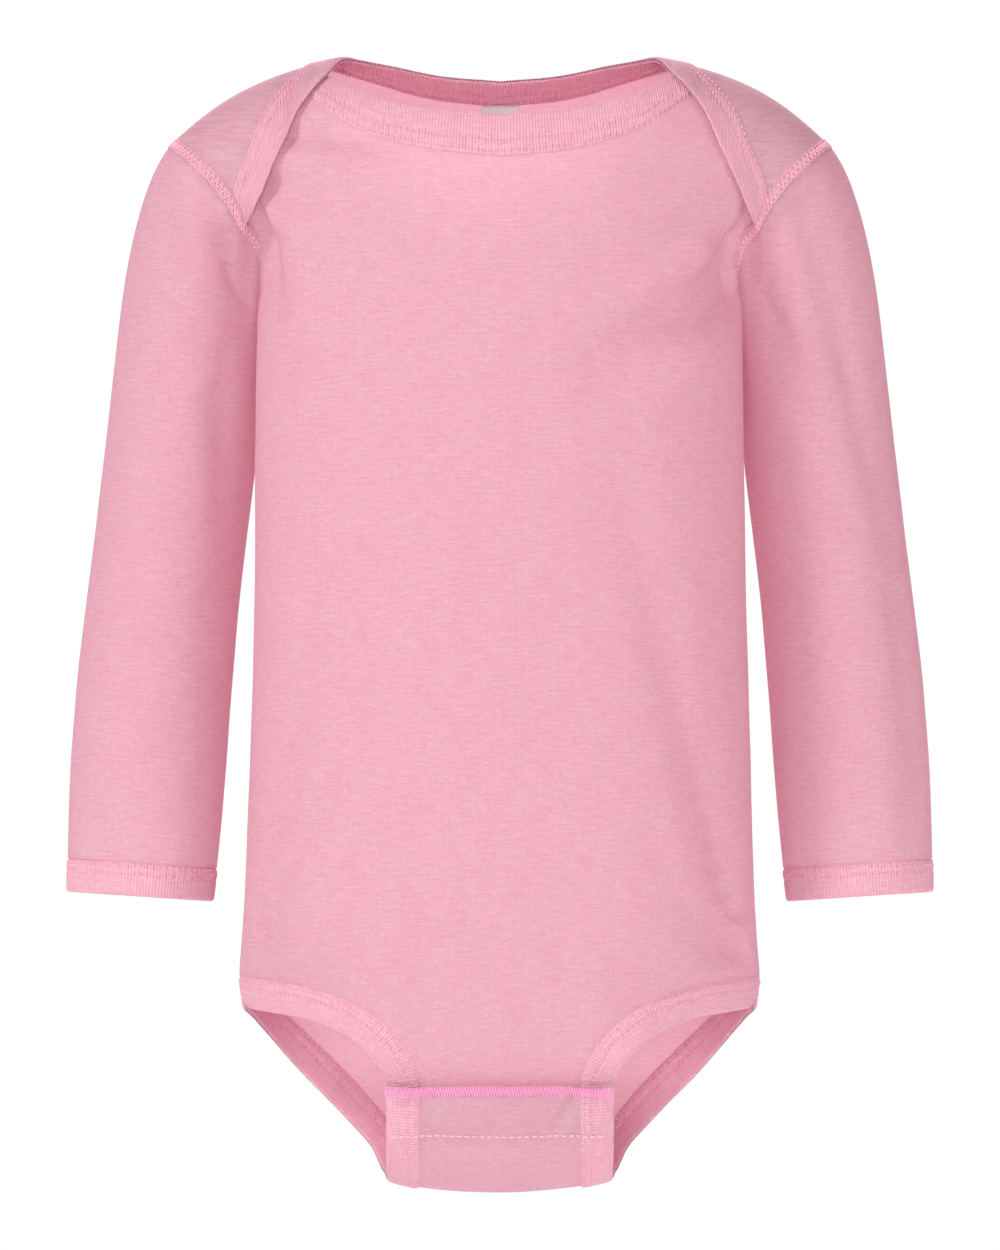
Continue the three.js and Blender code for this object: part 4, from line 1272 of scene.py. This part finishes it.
def thread_bars(name, starts, ends, outs, thickness, material):
    angle = np.arange(BEAD_SIDES) * 2 * math.pi / BEAD_SIDES
    along = unit(ends - starts)
    sideways = unit(np.cross(along, outs))
    raised = np.cross(sideways, along)
    radius = thickness / 2
    points = []
    for share, girth, lift in BEAD_RINGS:
        centre = starts + (ends - starts) * share + raised * lift * radius
        wide = sideways[:, None] * (np.cos(angle) * radius * girth)[None, :, None]
        high = raised[:, None] * (np.sin(angle) * radius * girth)[None, :, None]
        points.append(centre[:, None] + wide + high)
    points = np.stack(points, 1).reshape(len(starts), -1, 3)
    offsets = (np.arange(len(starts)) * points.shape[1])[:, None, None]
    quads = (bead_faces()[None] + offsets).reshape(-1, 4)
    flat = points.reshape(-1, 3)
    piece = new_piece(name, flat, face_out(flat, quads), np.zeros((len(flat), 2)), material)
    return piece


def bars_on_line(line, out, length, stitch, gap):
    """Starts, ends and normals of the bars between needle holes, which lie at whole steps of length."""
    count = int(length[-1] / stitch)
    holes = np.arange(count + 1) * stitch
    begin = holes[:-1] + gap / 2
    end = holes[1:] - gap / 2
    outs = unit(resample(out, (begin + end) / 2, length))
    return resample(line, begin, length), resample(line, end, length), outs


def row_bars(name, rows, material, slot, stitch=STITCH, gap=STITCH_GAP, thickness=THREAD):
    bars = [bars_on_line(line, out, length, stitch, gap) for line, out, length in rows]
    starts, ends, outs = (np.concatenate([bar[k] for bar in bars]) for k in range(3))
    return thread_bars(name, starts, ends, outs, thickness, material)


def binding_stitches(name, strip, faces=(1, -1)):
    """Two rows on the outside (1) and two on the inside (-1) of a binding."""
    point, normal = strip
    length = arc_length(point, 0)[:, MIDDLE_STATION]
    rows = []
    for row in STITCH_ROWS:
        k = int(np.argmin(abs(STRIP_STATIONS - row)))
        for face in faces:
            height = BINDING_HALF - FURROW + RIB_RELIEF / 2 + THREAD / 4
            rows.append((point[:, k] + face * normal[:, k] * height, face * normal[:, k], length))
    return row_bars(name, rows, seam_thread, "rib")


stitch_pieces = {
    "front_neck": binding_stitches("front_neck_stitches", front_strip),
    "back_neck": binding_stitches("back_neck_stitches", back_strip),
}
for word in ("left", "right"):
    stitch_pieces[word + "_leg"] = binding_stitches(word + "_leg_stitches", leg_strips[word])
    stitch_pieces[word + "_cuff"] = binding_stitches(word + "_cuff_stitches", cuff_strips[word])
print("rows of binding stitches:", 4 * len(stitch_pieces))

# %% [markdown]
# ## Armhole seams
#
# The sleeve is set in with a flat seam: the seam allowance is turned onto the body and held by two
# rows of stitches, so a band 5 mm wide goes round the armhole, with a raised lip at the sleeve. A
# fluffy looper thread goes to and fro between the rows. It is what makes the band look paler.

# %% Armhole bands
# the band's section, from the sleeve's side to the body's: millimetres in from the armhole, and up
BAND_INSETS = (-0.25, -0.15, 0.15, 0.6, 1.1, 1.9, 2.7, 3.3, 3.8, 4.4, 4.9)
BAND_HEIGHTS = (-0.5, 0.2, 0.55, 0.4, 0.5, 0.48, 0.48, 0.42, 0.36, 0.3, 0.0)
BAND_ROWS = (0.6, 3.8)
BAND_STEP = 0.5
BAND_MIDDLE = 4  # the row of the section along which its length is measured
LAP_CROSSING = 1.3
LAP_CROSSING_WIDTH = 0.09
LAP_BULK = 0.6
CROSSING_THREAD = 0.5
TIP_FLAT = 0.8  # the band is pressed flat on the tip of the shoulder


def lap_bulk(t):
    """The band rises where it crosses the thick binding of the lap."""
    front_v = 1 + 2 * (t % 1)
    return LAP_BULK * np.exp(-(((front_v - LAP_CROSSING) / LAP_CROSSING_WIDTH) ** 2))


def crossing_threads(name, rows, material):
    """Thread that goes to and fro between two rows of stitches."""
    (line_a, out, length), (line_b, _, _) = rows
    places = np.arange(0, length[-1], STITCH / 2)
    on_a = (np.arange(len(places)) % 2 == 0)[:, None]
    corners = np.where(on_a, resample(line_a, places, length), resample(line_b, places, length))
    outs = unit(resample(out, places, length))
    return thread_bars(name, corners[:-1], corners[1:], outs[:-1], CROSSING_THREAD, material)


def armhole_band(word, side):
    count = int(armhole_length / BAND_STEP)
    t = np.arange(count) / count
    flat = 1 - TIP_FLAT * np.exp(-(((t - 0.5) / TIP_REACH) ** 2))
    section = zip(BAND_INSETS, BAND_HEIGHTS)
    lines = [armhole_line(t, inset, high * flat + lap_bulk(t)) for inset, high in section]
    point = np.stack(lines) * np.array([side, 1, 1])
    along = arc_length(closed(point[BAND_MIDDLE]), 0)
    uv = np.stack(np.broadcast_arrays(along[None, :-1], np.array(BAND_INSETS)[:, None]), -1)
    piece = single_cloth(word + "_armhole_band", point, uv, jersey, side, wraps=True)
    out = side * grid_normals(point, wraps=True)
    stitch_rows = []
    for inset in BAND_ROWS:
        k = BAND_INSETS.index(inset)
        line = closed(point[k] + out[k] * THREAD / 3)
        stitch_rows.append((line, closed(out[k]), along))
    rows = row_bars(word + "_armhole_stitches", stitch_rows, seam_thread, "jersey")
    return piece, rows, crossing_threads(word + "_armhole_crossing", stitch_rows, looper_thread)


armhole_bands = {word: armhole_band(word, side) for word, side in (("left", 1), ("right", -1))}
print("armhole bands:", len(armhole_bands))

# %% [markdown]
# ## The flap's edge and placket stitch
#
# The end of the crotch flap is neatened by an overlock in a bright textured thread: slanting loops
# packed side by side over the raw edge. One straight row in a pale thread, 18 mm below, holds the
# turned-in strip that carries the snaps.

# %% Overlocked edge
OVERLOCK_WIDTH = 3.4
OVERLOCK_PITCH = 0.95
OVERLOCK_THREAD = 0.8
OVERLOCK_INSET = 0.1
OVERLOCK_LIFT = (0.25, 0.2)  # at the cloth's end and at the needle
PLACKET_ROW = 18.0
PLACKET_THREAD = 0.5
PLACKET_STITCH = 2.6
PLACKET_GAP = 0.9
PLACKET_LIFT = 0.05
FLAP_HALF_WIDTH = 39.6
FLAP_EDGE_X = 28.0
RUN_ON_POINTS = 14
RUN_ON_START = 0.5
RUN_ON_LIFT = 0.1
FLAP_POINTS = 121
PLACKET_SHORTER = 1.5


def flap_line(at, out_to):
    """A line across the flap, so many millimetres from its end, that runs on over the side bindings."""
    u = np.linspace(-1, 1, FLAP_POINTS)
    v = np.full_like(u, at / BACK_LEVELS[-1][0])
    line = panel_point(BACK, u, v, JERSEY_HALF)
    normal = body_normal(BACK, u, v)
    run_on = np.linspace(RUN_ON_START, out_to - FLAP_EDGE_X, RUN_ON_POINTS)[:, None]
    ends = []
    for side, tip in ((-1, 0), (1, -1)):
        sideways = np.array([side, 0, 0])
        ends.append(line[tip] + run_on * sideways + normal[tip] * (BINDING_HALF + RUN_ON_LIFT))
    line = np.concatenate([ends[0][::-1], line, ends[1]])
    before, after = (np.repeat(normal[tip][None], RUN_ON_POINTS, 0) for tip in (0, -1))
    return line, np.concatenate([before, normal, after])


def overlock(name):
    top, out = flap_line(OVERLOCK_INSET, FLAP_HALF_WIDTH)
    low, _ = flap_line(OVERLOCK_WIDTH, FLAP_HALF_WIDTH)
    length = arc_length(top, 0)
    places = np.arange(0, length[-1], OVERLOCK_PITCH)
    lean = OVERLOCK_PITCH / 2
    normal = resample(out, places, length)
    starts = resample(top, places - lean, length) + normal * OVERLOCK_LIFT[0]
    ends = resample(low, places + lean, length) + normal * OVERLOCK_LIFT[1]
    return thread_bars(name, starts, ends, normal, OVERLOCK_THREAD, bright_thread)


overlock_edge = overlock("flap_overlock")

# %% Placket stitch
placket_line, placket_out = flap_line(PLACKET_ROW, FLAP_HALF_WIDTH - PLACKET_SHORTER)
placket_row = (placket_line + placket_out * PLACKET_LIFT, placket_out, arc_length(placket_line, 0))
placket_sizes = (PLACKET_STITCH, PLACKET_GAP, PLACKET_THREAD)
placket = row_bars("placket_stitches", [placket_row], placket_thread, "rib", *placket_sizes)
print("overlock faces:", len(overlock_edge.data.polygons), "placket faces:", len(placket.data.polygons))

# %% [markdown]
# ## Label and snaps
#
# A small blank label of white satin tape hangs inside the back of the neck, sewn in under the
# binding. The snaps between flap and front are closed, so none of their caps shows. Their solids
# stay as they are and only get their enamel.

# %% Label
LABEL_WIDTH = 13.0
LABEL_LENGTH = 20.0
LABEL_HALF = 0.25
LABEL_INSET = 1.9
LABEL_RISE = 1.6  # its top edge is caught in the binding's seam
LABEL_WAVE = 0.25
LABEL_WAVE_LENGTH = 3.1
LABEL_LEAN = 0.3


def label_grid(columns=26, rows=32):
    top = float(column(back_seam, NECK, "up", 0.0))
    probe = 0.1
    probed = smooth_body(BACK, 0.0, top - probe) - smooth_body(BACK, 0.0, top)
    per_mm = probe / float(np.linalg.norm(probed))
    x = np.linspace(-LABEL_WIDTH / 2, LABEL_WIDTH / 2, columns + 1)
    down = np.linspace(-LABEL_RISE, LABEL_LENGTH - LABEL_RISE, rows + 1)
    x, down = np.meshgrid(x, down)
    share = down / LABEL_LENGTH
    inset = LABEL_INSET + LABEL_WAVE * np.sin(x / LABEL_WAVE_LENGTH) * share + LABEL_LEAN * share**2
    point = panel_point(BACK, x / SHOULDER_TIP_X, top - down * per_mm, -inset)
    point[..., 0] = x
    return point, np.stack([x, down], -1)


label_point, label_uv = label_grid()
label_normal = grid_normals(label_point)
label = cloth_piece("neck_label_tape", label_point, label_normal, LABEL_HALF, label_uv, label_tape)
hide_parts("neck_label")

for place in ("right", "middle", "left"):
    snap = frame["nodes"][place + "_snap"]
    snap.data.materials.clear()
    snap.data.materials.append(snap_enamel)
print("label:", LABEL_WIDTH, "by", LABEL_LENGTH, "mm")

# %% [markdown]
# ## Size of a grid
#
# The size of a piece of cloth comes from its grid itself: span gives the longest way across or
# the longest way along, in metres. The sizes come from the grids themselves: the longest way
# across and the longest way along.


def span(points, axis):
    return float(arc_length(points, axis).max()) * MM


# %% [markdown]
# ## Studio
#
# The photo is a catalogue shot on white: a bright backdrop behind and soft light from all round. A
# large softbox in front gives most of it. A smaller one high on the left draws the folds, a weak
# one low on the right opens their shadows, and one behind and above shines through the thin cloth
# and lights the inside of the neck. The floor is a pale sheet far below, because the garment hangs
# in the air as if worn.

# %% Floor and lights
FLOOR_Z = -0.75
FLOOR_REACH = 1.9
FLOOR_COLOUR = "#f4f4f4"
FLOOR_ROUGHNESS = 0.9


def floor_sheet():
    mesh = bpy.data.meshes.new("studio_floor")
    signs = ((-1, -1), (1, -1), (1, 1), (-1, 1))
    corners = [(x * FLOOR_REACH, y * FLOOR_REACH, FLOOR_Z) for x, y in signs]
    mesh.from_pydata(corners, [], [(0, 1, 2, 3)])
    floor = bpy.data.objects.new("studio_floor", mesh)
    bpy.context.scene.collection.objects.link(floor)
    paint = bpy.data.materials.new("matt white floor paint")
    paint.use_nodes = True
    shader = paint.node_tree.nodes["Principled BSDF"]
    shader.inputs["Base Color"].default_value = linear(FLOOR_COLOUR)
    shader.inputs["Roughness"].default_value = FLOOR_ROUGHNESS
    mesh.materials.append(paint)


floor_sheet()

ROOM_COLOUR = (0.5, 0.4, 0.43, 1)  # light that has bounced off pink cloth
BACKDROP_LIGHT = 1.03
BACKDROP_EDGES = (0.6, 0.93)  # the room brightens from the first to the white of the second

world = bpy.data.worlds.new("white studio")
bpy.context.scene.world = world
world.use_nodes = True
room = world.node_tree
direction = add_node(room, "ShaderNodeTexCoord").outputs["Generated"]
parts = add_node(room, "ShaderNodeSeparateXYZ", {"Vector": direction})
backdrop = add_node(room, "ShaderNodeValToRGB", {"Fac": parts.outputs["Y"]})
backdrop.color_ramp.elements[0].position = BACKDROP_EDGES[0]
backdrop.color_ramp.elements[0].color = ROOM_COLOUR
backdrop.color_ramp.elements[1].position = BACKDROP_EDGES[1]
backdrop.color_ramp.elements[1].color = (1, 1, 1, 1)
room.links.new(backdrop.outputs[0], room.nodes["Background"].inputs["Color"])
room.nodes["Background"].inputs["Strength"].default_value = BACKDROP_LIGHT


GARMENT_MIDDLE = (0, 0, -0.2)
LIGHTS = [  # name, place in metres, width, watts
    ("front softbox", (-0.2, -2.6, -0.15), 1.0, 26),
    ("key light", (-1.5, -1.2, 1.2), 0.5, 29),
    ("fill light", (1.9, -1.5, -0.3), 1.0, 12),
    ("back light", (0.1, 1.8, 0.95), 0.9, 36),
]


def soft_light(name, place, size, power):
    lamp = bpy.data.lights.new(name, "AREA")
    lamp.shape = "DISK"
    lamp.size = size
    lamp.energy = power
    light = bpy.data.objects.new(name, lamp)
    light.location = place
    toward = np.array(GARMENT_MIDDLE) - np.array(place)
    tilt = math.atan2(math.hypot(toward[0], toward[1]), -toward[2])
    light.rotation_euler = (tilt, 0, math.atan2(-toward[0], toward[1]))
    bpy.context.scene.collection.objects.link(light)


for row in LIGHTS:
    soft_light(*row)
bpy.context.scene.view_settings.view_transform = "Standard"

# %% [markdown]
# ## Camera
#
# One pixel of the photo is 0.353 mm on the plane of the garment's middle. A long lens keeps the
# sleeves from spreading, so the camera stands 2.2 m away, level with the middle of the garment.

# %% Camera
IMAGE_WIDTH = 1000
PIXEL = 0.353
CAMERA_AWAY = 2200.0
CAMERA_LEVEL = -200.5
SENSOR = 36.0

lens = bpy.data.cameras.new("catalogue camera")
lens.sensor_fit = "HORIZONTAL"
lens.sensor_width = SENSOR
lens.lens = SENSOR * CAMERA_AWAY / (IMAGE_WIDTH * PIXEL)
camera = bpy.data.objects.new("catalogue camera", lens)
camera.location = (0, -CAMERA_AWAY * MM, CAMERA_LEVEL * MM)
camera.rotation_euler = (math.pi / 2, 0, 0)
bpy.context.scene.collection.objects.link(camera)
bpy.context.scene.camera = camera
print("lens:", round(lens.lens, 1), "mm")
